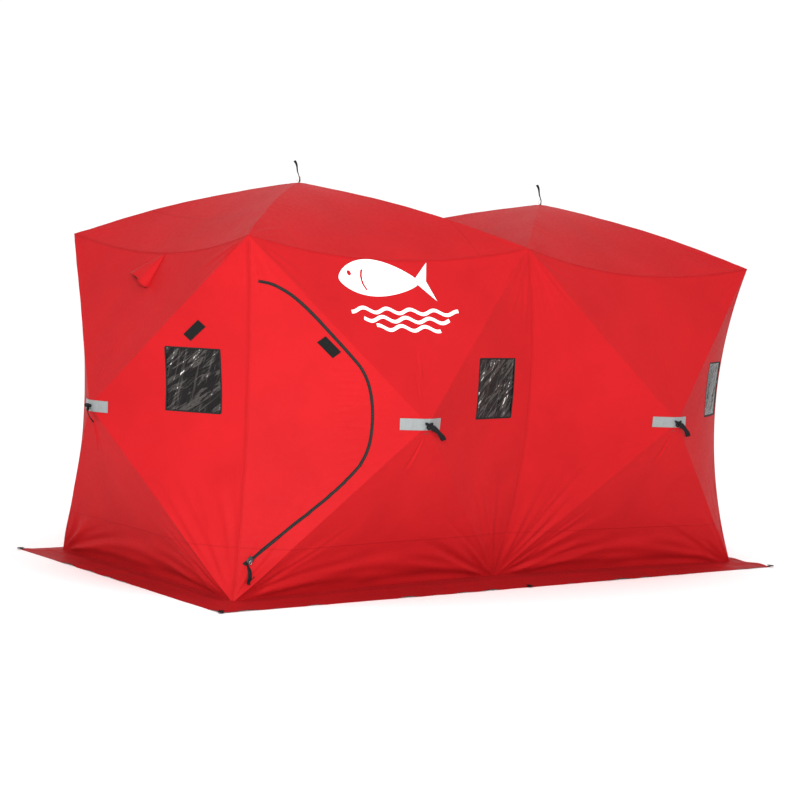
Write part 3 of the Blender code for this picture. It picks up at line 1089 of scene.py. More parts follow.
def sweep_mesh(path: Array, side: Array, half_width: Array | float, half_thick: Array | float,
               square: float = 1.0, around: int = 12) -> bmesh.types.BMesh:
    """A closed rod, cord or strap along a path.

    Args:
        path: Its middle line.
        side: The direction of its breadth, one or one for each point.
        half_width, half_thick: Half its breadth and thickness, one or one for each point.
        square: 1 for an oval section, and smaller for a flatter strap.
        around: Faces around it.

    Returns:
        The mesh, capped at both ends, with a UV map along and around it.
    """
    count = len(path)
    run = np.gradient(path, axis=0)
    run /= np.linalg.norm(run, axis=1, keepdims=True)
    sides = np.broadcast_to(np.asarray(side, float), path.shape)
    sides = sides - run * np.sum(sides * run, axis=1, keepdims=True)
    sides = sides / np.linalg.norm(sides, axis=1, keepdims=True)
    thick = np.cross(run, sides)
    wide = np.broadcast_to(np.asarray(half_width, float), (count,))
    deep = np.broadcast_to(np.asarray(half_thick, float), (count,))
    bm, across, up = grid_mesh(count - 1, around)
    index = np.clip(np.rint(across * (count - 1)).astype(int), 0, count - 1)
    angle = up * 2 * math.pi
    cos, sin = np.cos(angle), np.sin(angle)
    x = np.sign(cos) * np.abs(cos) ** square * wide[index]
    y = np.sign(sin) * np.abs(sin) ** square * deep[index]
    set_places(bm, path[index] + sides[index] * x[:, None] + thick[index] * y[:, None])
    gaps = np.linalg.norm(np.diff(path, axis=0), axis=1)
    travel = np.concatenate(([0.0], np.cumsum(gaps)))
    set_uv(bm, np.stack((travel[index], x), axis=1))
    bmesh.ops.remove_doubles(bm, verts=bm.verts[:], dist=1e-6)
    bmesh.ops.holes_fill(bm, edges=[edge for edge in bm.edges if edge.is_boundary], sides=0)
    bmesh.ops.recalc_face_normals(bm, faces=bm.faces[:])
    return bm


# ---------------------------------------------------------------- the cloth


class ShelterPiece:
    """A sub-assembly of the shelter's pieces, made with the maker and its finishes."""

    def __init__(self, maker: Maker) -> None:
        """Keep the maker."""
        self.maker = maker
        self.finish = maker.finish

    def follow(self, piece: bpy.types.Object, panel: Panel, side: int) -> None:
        """Bake a piece's place into its mesh; where its facet starts following the hub is worked out but
        not used.

        Args:
            piece: The piece.
            panel: The panel it lies on.
            side: The facet it lies on.
        """
        start, end = panel.gradient(side)
        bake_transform(piece)


def window_of(panel: Panel) -> Outline:
    """The edge of a wall's window, which is narrower on the ends."""
    left, right = (0.430, 0.680) if panel.name.endswith("end") else (0.450, 0.750)
    return Outline(((left, 0.015), (right, 0.015), (right, 0.325), (left, 0.325)))


HINGE_LEFT, HINGE_RIGHT = -0.795, -0.735
ZIP_COURSE = ((-0.825, -0.709), (-0.614, -0.514), (-0.388, -0.304), (-0.278, -0.160),
              (-0.258, 0.042), (-0.298, 0.236), (-0.427, 0.376), (-0.626, 0.583),
              (-0.745, 0.660), (-0.812, 0.672))


def door_outline() -> Outline:
    """The zip's line round the door, closed by a straight edge along the hinge."""
    curve = rounded_path(ZIP_COURSE, 2)
    inner = curve[curve[:, 0] > HINGE_LEFT + 0.004]
    low = np.interp(HINGE_LEFT, curve[:3, 0], curve[:3, 1])
    high = np.interp(HINGE_LEFT, curve[::-1, 0][:5], curve[::-1, 1][:5])
    return Outline(((HINGE_LEFT, low), *(tuple(place) for place in inner), (HINGE_LEFT, high)))


DOOR = door_outline()


@dataclass
class DoorMotion:
    """How what is sewn to the door moves."""

    keep: float = 0.02
    anchor_out: float = 0.92

    def carry(self, piece: bpy.types.Object) -> None:
        """Swing a piece with the door, on a mesh of its own."""
        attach(piece, "door")
        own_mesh(piece)


class ClothShell(ShelterPiece):
    """The eight sprung panels of red cloth."""

    thickness = 0.0009

    def __init__(self, maker: Maker, panels: Sequence[Panel]) -> None:
        """Keep the panels."""
        super().__init__(maker)
        self.panels = panels
        self.door_motion = DoorMotion()

    def build(self) -> None:
        """Make every facet."""
        for panel in self.panels:
            for side in range(4):
                self.facet(panel, side)

    def declare(self, piece: bpy.types.Object, flat: tuple[float, float], area: float,
                rests: Sequence[str]) -> None:
        """Work out the smaller of the sheet's area and 0.999 of its flat size, and keep nothing; the area
        given is the modelled sheet's own.

        Args:
            piece: The facet; not used.
            flat: Its flat length and width, in metres.
            area: Its area, in square metres.
            rests: What it rests on; not used.
        """
        min(area, 0.999 * flat[0] * flat[1])

    def facet(self, panel: Panel, side: int) -> None:
        """Make one facet, with its window or door cut out."""
        node = panel.name if panel.is_roof else f"{panel.name}_wall"
        name = f"{panel.name}_cloth_{Side(side).name.lower()}"
        finish = self.finish.roof if panel.is_roof else self.finish.cloth
        rods = [f"{panel.name}_rod_{side + 1}", f"{panel.name}_rod_{(side + 1) % 4 + 1}"]
        bm = facet_mesh(panel, side)
        corners = panel.flat_corners[side], panel.flat_corners[(side + 1) % 4]
        breadth = float(np.linalg.norm(corners[1] - corners[0]))
        deep = float(np.linalg.norm(panel.corners[side] - panel.crown)) * 0.78
        if panel.name == "front_left" and side == Side.LEFT.value:
            self.door(panel, bm.copy())
            DOOR.cut(bm, panel, keep_inside=False)
            self.round_the_door(panel, bm, name, finish, rods)
            return
        if not panel.is_roof and side == Side.RIGHT.value:
            window_of(panel).cut(bm, panel, keep_inside=False)
        area = sheet_area(bm)
        piece = self.maker.piece(bm, name, "shelter_cloth", [finish], self.thickness)
        self.follow(piece, panel, side)
        self.declare(piece, (breadth, deep), area, rods)
        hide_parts(node)

    def round_the_door(self, panel: Panel, bm: bmesh.types.BMesh, name: str,
                       finish: bpy.types.Material, rods: Sequence[str]) -> None:
        """Make the wall above and below the door as two cuts of cloth.

        Args:
            panel: The panel with the door.
            bm: The facet, with the door already cut away.
            name: The start of both names.
            finish: The cloth.
            rods: What the cloth rests on.
        """
        level = panel.crown - panel.up * 0.004
        for suffix, outer in (("upper", True), ("lower", False)):
            part = bm.copy()
            bmesh.ops.bisect_plane(part, geom=part.verts[:] + part.edges[:] + part.faces[:],
                                   dist=1e-6, plane_co=Vector(level), plane_no=Vector(panel.up),
                                   clear_inner=outer, clear_outer=not outer)
            area = sheet_area(part)
            piece = self.maker.piece(part, f"{name}_{suffix}", "shelter_cloth", [finish],
                                     self.thickness)
            self.follow(piece, panel, Side.LEFT.value)
            self.declare(piece, (1.28, max(0.20, area / 0.9)), area, rods)
            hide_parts(f"{panel.name}_wall")
        bm.free()

    def door(self, panel: Panel, bm: bmesh.types.BMesh) -> None:
        """Make the door and the strip of cloth that it hinges on."""
        DOOR.cut(bm, panel, keep_inside=True)
        fold = panel.crown + panel.right * HINGE_RIGHT
        strip = bm.copy()
        for part, outer in ((bm, False), (strip, True)):
            bmesh.ops.bisect_plane(part, geom=part.verts[:] + part.edges[:] + part.faces[:],
                                   dist=1e-6, plane_co=Vector(fold), plane_no=Vector(panel.right),
                                   clear_inner=not outer, clear_outer=outer)
        area = sheet_area(bm)
        door = self.maker.piece(bm, "door_cloth", "shelter_cloth", [self.finish.cloth],
                                self.thickness)
        self.door_motion.carry(door)
        self.declare(door, (1.32, 0.66), area, ["door_hinge_cloth"])
        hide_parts("door_panel")
        area = sheet_area(strip)
        hinge = self.maker.piece(strip, "door_hinge_cloth", "shelter_cloth",
                                 [self.finish.cloth], self.thickness)
        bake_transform(hinge)
        self.declare(hinge, (1.32, max(0.064, area / 1.3)), area, ["front_left_wall"])


class Seams(ShelterPiece):
    """Piping in the seams, and the stitched tape beside them."""

    def __init__(self, maker: Maker, panels: Sequence[Panel]) -> None:
        """Keep the panels."""
        super().__init__(maker)
        self.panels = panels

    def build(self) -> None:
        """Make the piping and the tapes."""
        done: set[tuple[float, ...]] = set()
        for panel in self.panels:
            for side in range(4):
                middle = (panel.corners[side] + panel.corners[(side + 1) % 4]) / 2
                key = tuple(np.round(middle, 3))
                if key not in done:
                    done.add(key)
                    self.piping(panel, side)
                self.tape(panel, side)

    def piping(self, panel: Panel, side: int) -> None:
        """A cloth-covered cord sewn into a seam."""
        along = np.linspace(0.0, 1.0, 90)
        path = panel.cloth(side, along, np.ones(90), 0.0)
        path[:, 2] = np.maximum(path[:, 2], 0.006)
        bm = sweep_mesh(path, panel.normal, 0.0015, 0.0013, 1.0, 8)
        piece = self.maker.piece(bm, f"{panel.name}_piping_{Side(side).name.lower()}",
                                 "shelter_cloth", [self.finish.seam])
        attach(piece, "root")

    def tape(self, panel: Panel, side: int) -> None:
        """A flat-felled seam: tape stitched beside the seam."""
        bm, across, up = grid_mesh(110, 3)
        reach = np.linalg.norm(panel.corners[side] - panel.crown) * 0.72
        out = 1.0 - (0.003 + 0.010 * up) / reach
        crown = 0.0003 - 0.0003 * (2 * up - 1) ** 2
        along = 0.012 + 0.976 * across
        set_places(bm, panel.cloth(side, along, out, crown))
        length = np.linalg.norm(panel.corners[side] - panel.corners[(side + 1) % 4])
        set_uv(bm, np.stack((across * length, (up - 0.5) * 0.010), axis=1))
        face_out(bm, panel.normal)
        piece = self.maker.piece(bm, f"{panel.name}_seam_{Side(side).name.lower()}",
                                 "shelter_cloth", [self.finish.hem], 0.0003)
        self.follow(piece, panel, side)


# ---------------------------------------------------------------- windows and door


class Windows(ShelterPiece):
    """A clear pane in the right facet of each wall, bound in black."""

    def __init__(self, maker: Maker, panels: Sequence[Panel]) -> None:
        """Keep the walls."""
        super().__init__(maker)
        self.walls = [panel for panel in panels if not panel.is_roof]

    def build(self) -> None:
        """Make each window."""
        for seed, panel in enumerate(self.walls):
            self.pane(panel, seed)
            self.binding(panel)

    def creases(self, panel: Panel, right: Array, up: Array, seed: int) -> Array:
        """Long creases in the film, mostly slanting up to the right.

        Args:
            panel: The panel.
            right: Places to the right, in metres.
            up: Places upwards, in metres.
            seed: Where the pattern starts.

        Returns:
            Heights, in metres.
        """
        chance = np.random.default_rng(70 + seed)
        total = np.zeros_like(right)
        low, _, high, _ = window_of(panel).points
        for _ in range(26):
            foot = (chance.uniform(low[0] - 0.02, high[0] - 0.08), chance.uniform(low[1], high[1]))
            angle = chance.choice((0.75, 1.25, 0.45)) + chance.uniform(-0.2, 0.2)
            long = chance.uniform(0.10, 0.30)
            tip = (foot[0] + math.cos(angle) * long, foot[1] + math.sin(angle) * long)
            total += Fold(foot, tip, chance.uniform(0.004, 0.010), chance.uniform(-0.0035, 0.0040),
                          chance.uniform(-0.015, 0.015)).rise(right, up)
        return total

    def pane(self, panel: Panel, seed: int) -> None:
        """The film, tucked behind the cloth's edge."""
        bm, across, up = grid_mesh(96, 96)
        low, _, high, _ = window_of(panel).grown(0.008).points
        right = low[0] + (high[0] - low[0]) * across
        rise = low[1] + (high[1] - low[1]) * up
        edge = np.minimum(np.minimum(across, 1 - across), np.minimum(up, 1 - up))
        lift = -0.0035 + self.creases(panel, right, rise, seed) * smooth(edge / 0.08)
        lay_out(bm, panel.on_cloth(right, rise, lift, Side.RIGHT.value),
                np.stack((right + seed * 0.7, rise), axis=1), panel.normal)
        piece = self.maker.piece(bm, f"{panel.name}_window_film", "window_film",
                                 [self.finish.film], 0.0006)
        self.follow(piece, panel, Side.RIGHT.value)
        high[0] - low[0]
        high[1] - low[1]
        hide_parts(f"{panel.name}_window")

    def binding(self, panel: Panel) -> None:
        """The black tape round the pane."""
        ring = window_of(panel).grown(0.002).points
        path = resample([*ring, ring[0]], 0.01)
        bm = band_mesh(panel, path, 0.0075, 0.0016, 3, 0.0009, side=Side.RIGHT.value, closed=True)
        piece = self.maker.piece(bm, f"{panel.name}_window_binding", "window_film",
                                 [self.finish.binding], 0.0012)
        self.follow(piece, panel, Side.RIGHT.value)


class LoopPatches(ShelterPiece):
    """Fuzzy fastener patches that hold a rolled-up window cover or door."""

    def build(self, left_end: Panel, front_left: Panel) -> None:
        """Make the patch on the end wall and the one on the door."""
        patch = self.patch(left_end, (0.579, 0.415), 0.105, 0.045, math.pi / 4, "left_end_patch",
                           Side.RIGHT.value)
        self.follow(patch, left_end, Side.RIGHT.value)
        patch = self.patch(front_left, (-0.482, 0.366), 0.105, 0.046, -math.pi / 4, "door_patch",
                           Side.LEFT.value)
        DoorMotion().carry(patch)

    def patch(self, panel: Panel, centre: tuple[float, float], length: float, width: float,
              turn: float, name: str, side: int) -> bpy.types.Object:
        """One patch, slightly proud, with a softened edge.

        Args:
            panel: The panel it lies on.
            centre: Its middle, in panel coordinates.
            length: Its length.
            width: Its width.
            turn: Its turn on the panel, in radians.
            name: Its name.
            side: The facet it lies on.

        Returns:
            The patch.
        """
        run = np.array((math.cos(turn), math.sin(turn))) * length / 2
        path = resample([np.array(centre) - run, np.array(centre) + run], 0.004)
        bm = band_mesh(panel, path, width, 0.0030, 14, 0.0004, side=side)
        return self.maker.piece(bm, name, "webbing", [self.finish.loop], 0.0025, 0.0005)


class ZipDoor(ShelterPiece):
    """The zip round the door: its tapes, its coil and its slider."""

    pitch = 0.0075
    tape_width = 0.0070

    def __init__(self, maker: Maker, panel: Panel) -> None:
        """Find the zip's line on the wall."""
        super().__init__(maker)
        self.panel = panel
        self.side = Side.LEFT.value
        self.line = resample(rounded_path(ZIP_COURSE, 3), self.pitch)
        self.on_door = self.line[self.line[:, 0] > HINGE_RIGHT]

    def build(self) -> None:
        """Make the tapes, the coil, the end stops and the slider."""
        half = self.tape_width / 2
        outer = band_mesh(self.panel, self.line, self.tape_width, 0.0022, 3, 0.0010, -half,
                          self.side)
        wall = self.maker.piece(outer, "zip_tape_wall", "zip_metal", [self.finish.binding], 0.0012)
        self.follow(wall, self.panel, self.side)
        inner = band_mesh(self.panel, self.on_door, self.tape_width, 0.0022, 3, 0.0010, half,
                          self.side)
        door = self.maker.piece(inner, "zip_tape_door", "zip_metal", [self.finish.binding], 0.0012)
        DoorMotion().carry(door)
        lower = self.line[:np.argmax(self.line[:, 0] > HINGE_RIGHT) + 1]
        beyond = len(self.line) - np.argmax(self.line[::-1, 0] > HINGE_RIGHT) - 1
        for name, path in (("lower", lower), ("upper", self.line[beyond:])):
            end = band_mesh(self.panel, path, self.tape_width, 0.0022, 3, 0.0010, half, self.side)
            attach(self.maker.piece(end, f"zip_tape_{name}_end", "zip_metal",
                                     [self.finish.binding], 0.0012), "root")
        self.teeth("zip_coil_wall", self.line, -1)
        DoorMotion().carry(self.teeth("zip_coil_door", self.on_door, 1))
        self.slider()

    def teeth(self, name: str, line: Array, way: int) -> bpy.types.Object:
        """One side's coil, as a row of small humps.

        Args:
            name: The name of the coil.
            line: The points it follows.
            way: The side of the line it stands on.

        Returns:
            The coil.
        """
        marks = resample(line, self.pitch)
        run = np.gradient(marks, axis=0)
        run /= np.linalg.norm(run, axis=1, keepdims=True)
        left = np.stack((-run[:, 1], run[:, 0]), axis=1)
        foot = marks + left * (0.0016 * way)
        tops = self.panel.on_cloth(foot[:, 0], foot[:, 1], 0.0028, self.side)
        bm = bmesh.new()
        normal = Vector(self.panel.normal)
        for place, ahead in zip(tops, run):
            flow = Vector(self.panel.right * ahead[0] + self.panel.up * ahead[1])
            frame = Matrix((flow, normal.cross(flow), normal)).transposed().to_4x4()
            frame.translation = Vector(place)
            bmesh.ops.create_icosphere(bm, subdivisions=1, radius=1.0,
                                       matrix=frame @ Matrix.Diagonal((0.0026, 0.0020, 0.0013, 1)))
        layer = bm.loops.layers.uv.new("UVMap")
        for face in bm.faces:
            for loop in face.loops:
                loop[layer].uv = (loop.vert.co.x, loop.vert.co.z)
        piece = self.maker.piece(bm, name, "zip_metal", [self.finish.zip])
        if way < 0:
            self.follow(piece, self.panel, self.side)
        return piece

    def slider(self) -> None:
        """The slider's body, its bail, and the pull that hangs from it."""
        low, high = (np.array(place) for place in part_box("door_slider"))
        head = np.array(((low[0] + high[0]) / 2, low[1] + 0.006, high[2] - 0.018))
        body = bmesh.new()
        bmesh.ops.create_cube(body, size=1.0)
        bmesh.ops.scale(body, vec=(0.024, 0.010, 0.036), verts=body.verts)
        top = [vert for vert in body.verts if vert.co.z > 0]
        bmesh.ops.scale(body, vec=(1.35, 1.0, 1.0), verts=top)
        bmesh.ops.bevel(body, geom=body.edges[:], offset=0.0025, offset_type="OFFSET",
                        segments=3, profile=0.5, affect="EDGES", material=-1)
        bmesh.ops.rotate(body, cent=(0, 0, 0), matrix=Matrix.Rotation(0.83, 3, "Y"),
                         verts=body.verts)
        bmesh.ops.translate(body, vec=Vector(head), verts=body.verts)
        piece = self.maker.piece(body, "zip_slider_body", "zip_metal", [self.finish.zip])
        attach(piece, "door_slider")
        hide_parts("door_slider")
        turns = np.linspace(0, 2 * math.pi, 25)
        ring = np.stack((0.007 * np.sin(turns), np.full(25, -0.007) - 0.002 * np.cos(turns),
                         -0.009 + 0.010 * np.cos(turns)), axis=1) + head
        bail = self.maker.piece(sweep_mesh(ring, (0, 1, 0), 0.0014, 0.0014, 1.0, 8),
                                "zip_slider_bail", "zip_metal", [self.finish.metal])
        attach(bail, "door_slider")
        drop = np.linspace(0, 1, 24)
        flat = self.panel.to_flat(head[None, :])[0]
        hang = self.panel.on_cloth(flat[0] - 0.004 + 0.006 * np.sin(drop * 2.5),
                                   flat[1] - 0.012 - 0.105 * drop, 0.018 - 0.006 * drop)
        wide = 0.0060 + 0.0055 * smooth((drop - 0.15) / 0.2) - 0.0030 * smooth((drop - 0.92) / 0.08)
        thick = 0.0022 + 0.0016 * smooth((drop - 0.25) / 0.2)
        pull = self.maker.piece(sweep_mesh(hang, (1, 0.2, 0), wide, thick, 0.6, 14),
                                "zip_slider_pull", "zip_metal", [self.finish.strap])
        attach(pull, "door_slider")


# ---------------------------------------------------------------- hubs, straps and rods


class HubPulls(ShelterPiece):
    """What shows outside at each hub: reflective tape, a ring and a knotted pull strap."""

    strip_ends = (-0.138, 0.115)
    strip_width = 0.058

    def __init__(self, maker: Maker, panels: Sequence[Panel]) -> None:
        """Keep the panels."""
        super().__init__(maker)
        self.panels = panels

    def build(self) -> None:
        """Dress every hub."""
        for panel in self.panels:
            self.cap(panel)
            if panel.is_roof:
                self.roof_pull(panel)
            else:
                self.strip(panel)
                self.wall_pull(panel)
            hub = bpy.data.objects[f"{panel.name}_hub"]
            for place in hub.material_slots:
                place.material = self.finish.hub

    def cap(self, panel: Panel) -> None:
        """A round patch of doubled cloth over the hub."""
        bm, turn, reach = grid_mesh(48, 14)
        angle, radius = turn * 2 * math.pi, 0.001 + 0.052 * reach
        right, up = np.cos(angle) * radius, np.sin(angle) * radius
        lift = 0.0011 - 0.0008 * smooth((reach - 0.8) / 0.2)
        set_places(bm, panel.on_cloth(right, up, lift))
        set_uv(bm, np.stack((right, up), axis=1))
        bmesh.ops.remove_doubles(bm, verts=bm.verts[:], dist=1e-6)
        bmesh.ops.holes_fill(bm, edges=[edge for edge in bm.edges if edge.is_boundary
                                        and edge.calc_length() < 0.0005], sides=0)
        face_out(bm, panel.normal)
        finish = self.finish.roof if panel.is_roof else self.finish.cloth
        piece = self.maker.piece(bm, f"{panel.name}_hub_patch", "shelter_cloth", [finish], 0.0009)
        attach(piece, f"{panel.name}_hub")

    def strip(self, panel: Panel) -> None:
        """Reflective tape across the hub, in two halves."""
        for side, end in ((Side.LEFT, self.strip_ends[0]), (Side.RIGHT, self.strip_ends[1])):
            path = resample(sorted([(end, 0.0), (0.0, 0.0)]), 0.004)
            bm = band_mesh(panel, path, self.strip_width, 0.0032, 14)
            piece = self.maker.piece(bm, f"{panel.name}_reflector_{side.name.lower()}",
                                     "webbing", [self.finish.reflector], 0.0010)
            self.follow(piece, panel, side.value)

    def wall_pull(self, panel: Panel) -> None:
        """A knot at the hub, and the strap's tail hanging down to the right."""
        frame = Matrix((Vector(panel.right), Vector(panel.up), Vector(panel.normal))).transposed()
        seat = panel.on_cloth(np.array([0.0]), np.array([0.0]), 0.004)[0]

        def place(points: Array) -> Array:
            """Points given as right, up and out from the hub."""
            return points @ np.array(frame.transposed()) + seat

        turns = np.linspace(0, 2 * math.pi, 64)
        knot = np.stack((0.0105 * (np.sin(turns) + 1.2 * np.sin(2 * turns)),
                         0.0085 * (np.cos(turns) - 1.2 * np.cos(2 * turns)),
                         0.009 - 0.0055 * np.sin(3 * turns)), axis=1)
        piece = self.maker.piece(sweep_mesh(place(knot), panel.normal, 0.0052, 0.0042, 0.8, 10),
                                 f"{panel.name}_pull_knot", "webbing", [self.finish.strap])
        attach(piece, f"{panel.name}_hub")
        share = np.linspace(0, 1, 40)
        slope = 0.19
        way = 0.25 if panel.name.endswith("end") else 1.0
        right = way * (0.004 + 0.128 * share)
        up = -0.004 - 0.040 * share - 0.034 * share ** 1.5
        out = 0.014 - slope * 1.9 * np.hypot(right, up) + 0.016 * np.sin(share * 2.6)
        tail = np.stack((right, up, out), axis=1)
        twist = 0.25 + 0.75 * share
        across = np.stack((0.5 * np.cos(twist), np.cos(twist), np.sin(twist)), axis=1)
        across = across @ np.array(frame.transposed())
        bm = sweep_mesh(place(tail), across, 0.0125 + 0.0022 * np.sin(share * 9), 0.0021, 0.45, 14)
        piece = self.maker.piece(bm, f"{panel.name}_pull_tail", "webbing", [self.finish.strap])
        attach(piece, f"{panel.name}_hub")

    def roof_pull(self, panel: Panel) -> None:
        """The strap that stands on a roof hub, held by a pale cord."""
        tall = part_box(f"{panel.name}_strap")[1][2] - panel.crown[2]
        share = np.linspace(0, 1, 36)
        path = np.stack((-0.012 * share - 0.026 * share ** 2 + 0.004 * np.sin(share * 9),
                         -0.006 * np.sin(share * 3.0), -0.006 + (tall + 0.002) * share), axis=1)
        across = np.stack((np.cos(0.5 + share * 1.4), np.sin(0.5 + share * 1.4),
                           0.1 * share), axis=1)
        wide = 0.0085 + 0.002 * np.sin(share * 7.0)
        bm = sweep_mesh(path + panel.crown, across, wide, 0.0021, 0.45, 14)
        strap = self.maker.piece(bm, f"{panel.name}_pull_strap", "webbing", [self.finish.strap])
        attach(strap, f"{panel.name}_hub")
        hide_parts(f"{panel.name}_strap")
        turns = np.linspace(0, 2 * math.pi, 40)
        ring = np.stack((0.0135 * np.sin(turns), 0.003 * np.sin(2 * turns),
                         0.016 + 0.017 * np.cos(turns)), axis=1) + panel.crown
        cord = self.maker.piece(sweep_mesh(ring, (0, 1, 0), 0.0024, 0.0024, 1.0, 8),
                                f"{panel.name}_pull_ring", "webbing", [self.finish.cord])
        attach(cord, f"{panel.name}_hub")


class Rods(ShelterPiece):
    """The glass-fibre rods that spring each panel, lying along its ridges inside."""

    radius = 0.00475
    below = 0.0125

    def __init__(self, maker: Maker, panels: Sequence[Panel]) -> None:
        """Keep the panels."""
        super().__init__(maker)
        self.panels = panels

    def build(self) -> None:
        """Make each rod and its ferrule."""
        for panel in self.panels:
            for index in range(4):
                self.rod(panel, index)

    def rod(self, panel: Panel, index: int) -> None:
        """One rod, from the hub to the pocket in its corner."""
        out = np.linspace(0.045, 0.950, 48)
        path = panel.cloth(index, np.zeros(48), out, -self.below, 0.0)
        path -= panel.normal * (0.0075 * smooth((out - 0.70) / 0.2))[:, None]
        path -= panel.normal * (0.020 * np.exp(-((out / 0.10) ** 2)))[:, None]
        name = f"{panel.name}_rod_{index + 1}"
        bm = sweep_mesh(path, panel.normal, self.radius, self.radius, 1.0, 10)
        piece = self.maker.piece(bm, f"{name}_glass_fibre", "rod_fibreglass", [self.finish.rod])
        self.follow(piece, panel, index)
        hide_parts(name)
        middle = path[21:27]
        bm = sweep_mesh(resample(middle, 0.006), panel.normal, self.radius + 0.0012,
                        self.radius + 0.0012, 1.0, 12)
        ferrule = self.maker.piece(bm, f"{name}_ferrule", "rod_fibreglass", [self.finish.ferrule])
        self.follow(ferrule, panel, index)


class CornerPockets(ShelterPiece):
    """The doubled cloth pockets inside that hold the rods' tips."""

    def __init__(self, maker: Maker, panels: Sequence[Panel]) -> None:
        """Keep the panels."""
        super().__init__(maker)
        self.panels = panels

    def build(self) -> None:
        """Make the pocket of every rod."""
        for panel in self.panels:
            for index in range(4):
                self.pocket(panel, index)

    def pocket(self, panel: Panel, index: int) -> None:
        """A tapering sleeve round a rod's tip."""
        out = np.linspace(0.87, 0.950, 16)
        path = panel.cloth(index, np.zeros(16), out, -0.0200, 0.0)
        wide = 0.017 - 0.008 * np.linspace(0, 1, 16)
        run = panel.corners[index] - panel.crown
        across = np.cross(panel.normal, run)
        bm = sweep_mesh(path, across, wide, 0.0064, 0.8, 16)
        piece = self.maker.piece(bm, f"{panel.name}_pocket_{index + 1}", "webbing",
                                 [self.finish.strap])
        self.follow(piece, panel, index)


# ---------------------------------------------------------------- vent, skirt and print


class VentHood(ShelterPiece):
    """The little hood over the vent high on the end wall."""

    mouth = (-0.046, 0.650)
    apex = (0.056, 0.792)
    half_width = 0.113
    height = 0.072
    recess = 0.16

    def __init__(self, maker: Maker, panel: Panel) -> None:
        """Keep the wall."""
        super().__init__(maker)
        self.panel = panel
        axis = np.array(self.apex) - np.array(self.mouth)
        self.length = float(np.linalg.norm(axis))
        self.axis = axis / self.length
        self.across = np.array((0.948, -0.318))

    def spread(self, turn: Array, along: Array, grow: float = 1.0) -> tuple[Array, Array, Array]:
        """Right, up and lift of points on the hood."""
        along = along + (1.0 - along) * self.recess * np.sin(turn * math.pi) ** 1.5
        narrow = (1.0 - along) ** 0.9 * grow
        side = -np.cos(turn * math.pi) * self.half_width * narrow
        flat = (np.array(self.mouth) + self.axis * (along * self.length)[:, None]
                + self.across * side[:, None])
        bulge = np.sin(turn * math.pi) ** 0.85 * self.height * narrow
        bulge *= 1 + 0.10 * np.sin(turn * 17 + along * 5) * (1 - along)
        return flat[:, 0], flat[:, 1], bulge + 0.0012

    def build(self) -> None:
        """Make the hood, its hem and the net behind it."""
        bm, turn, along = grid_mesh(56, 40)
        right, up, lift = self.spread(turn, along)
        lay_out(bm, self.panel.on_cloth(right, up, lift, Side.TOP.value),
                np.stack((right, up), axis=1), self.panel.normal)
        area = sheet_area(bm)
        hood = self.maker.piece(bm, "vent_hood_cloth", "shelter_cloth", [self.finish.cloth], 0.0009)
        self.follow(hood, self.panel, Side.TOP.value)
        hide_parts("left_end_vent")
        bm, turn, along = grid_mesh(56, 3)
        right, up, lift = self.spread(turn, along * 0.05, 1.012)
        lift += 0.0012
        lay_out(bm, self.panel.on_cloth(right, up, lift, Side.TOP.value),
                np.stack((turn * 0.3, (along - 0.5) * 0.012), axis=1), self.panel.normal)
        hem = self.maker.piece(bm, "vent_hood_hem", "shelter_cloth", [self.finish.hem], 0.0008)
        self.follow(hem, self.panel, Side.TOP.value)
        bm, side, along = grid_mesh(30, 20)
        reach = (side - 0.5) * 2 * self.half_width * (0.93 - 0.6 * along)
        flat = (np.array(self.mouth) + self.axis * (-0.010 + along * self.length * 0.6)[:, None]
                + self.across * reach[:, None])
        lay_out(bm, self.panel.on_cloth(flat[:, 0], flat[:, 1], 0.0022, Side.TOP.value),
                flat, self.panel.normal)
        net = self.maker.piece(bm, "vent_net", "shelter_cloth", [self.finish.loop], 0.0008)
        self.follow(net, self.panel, Side.TOP.value)


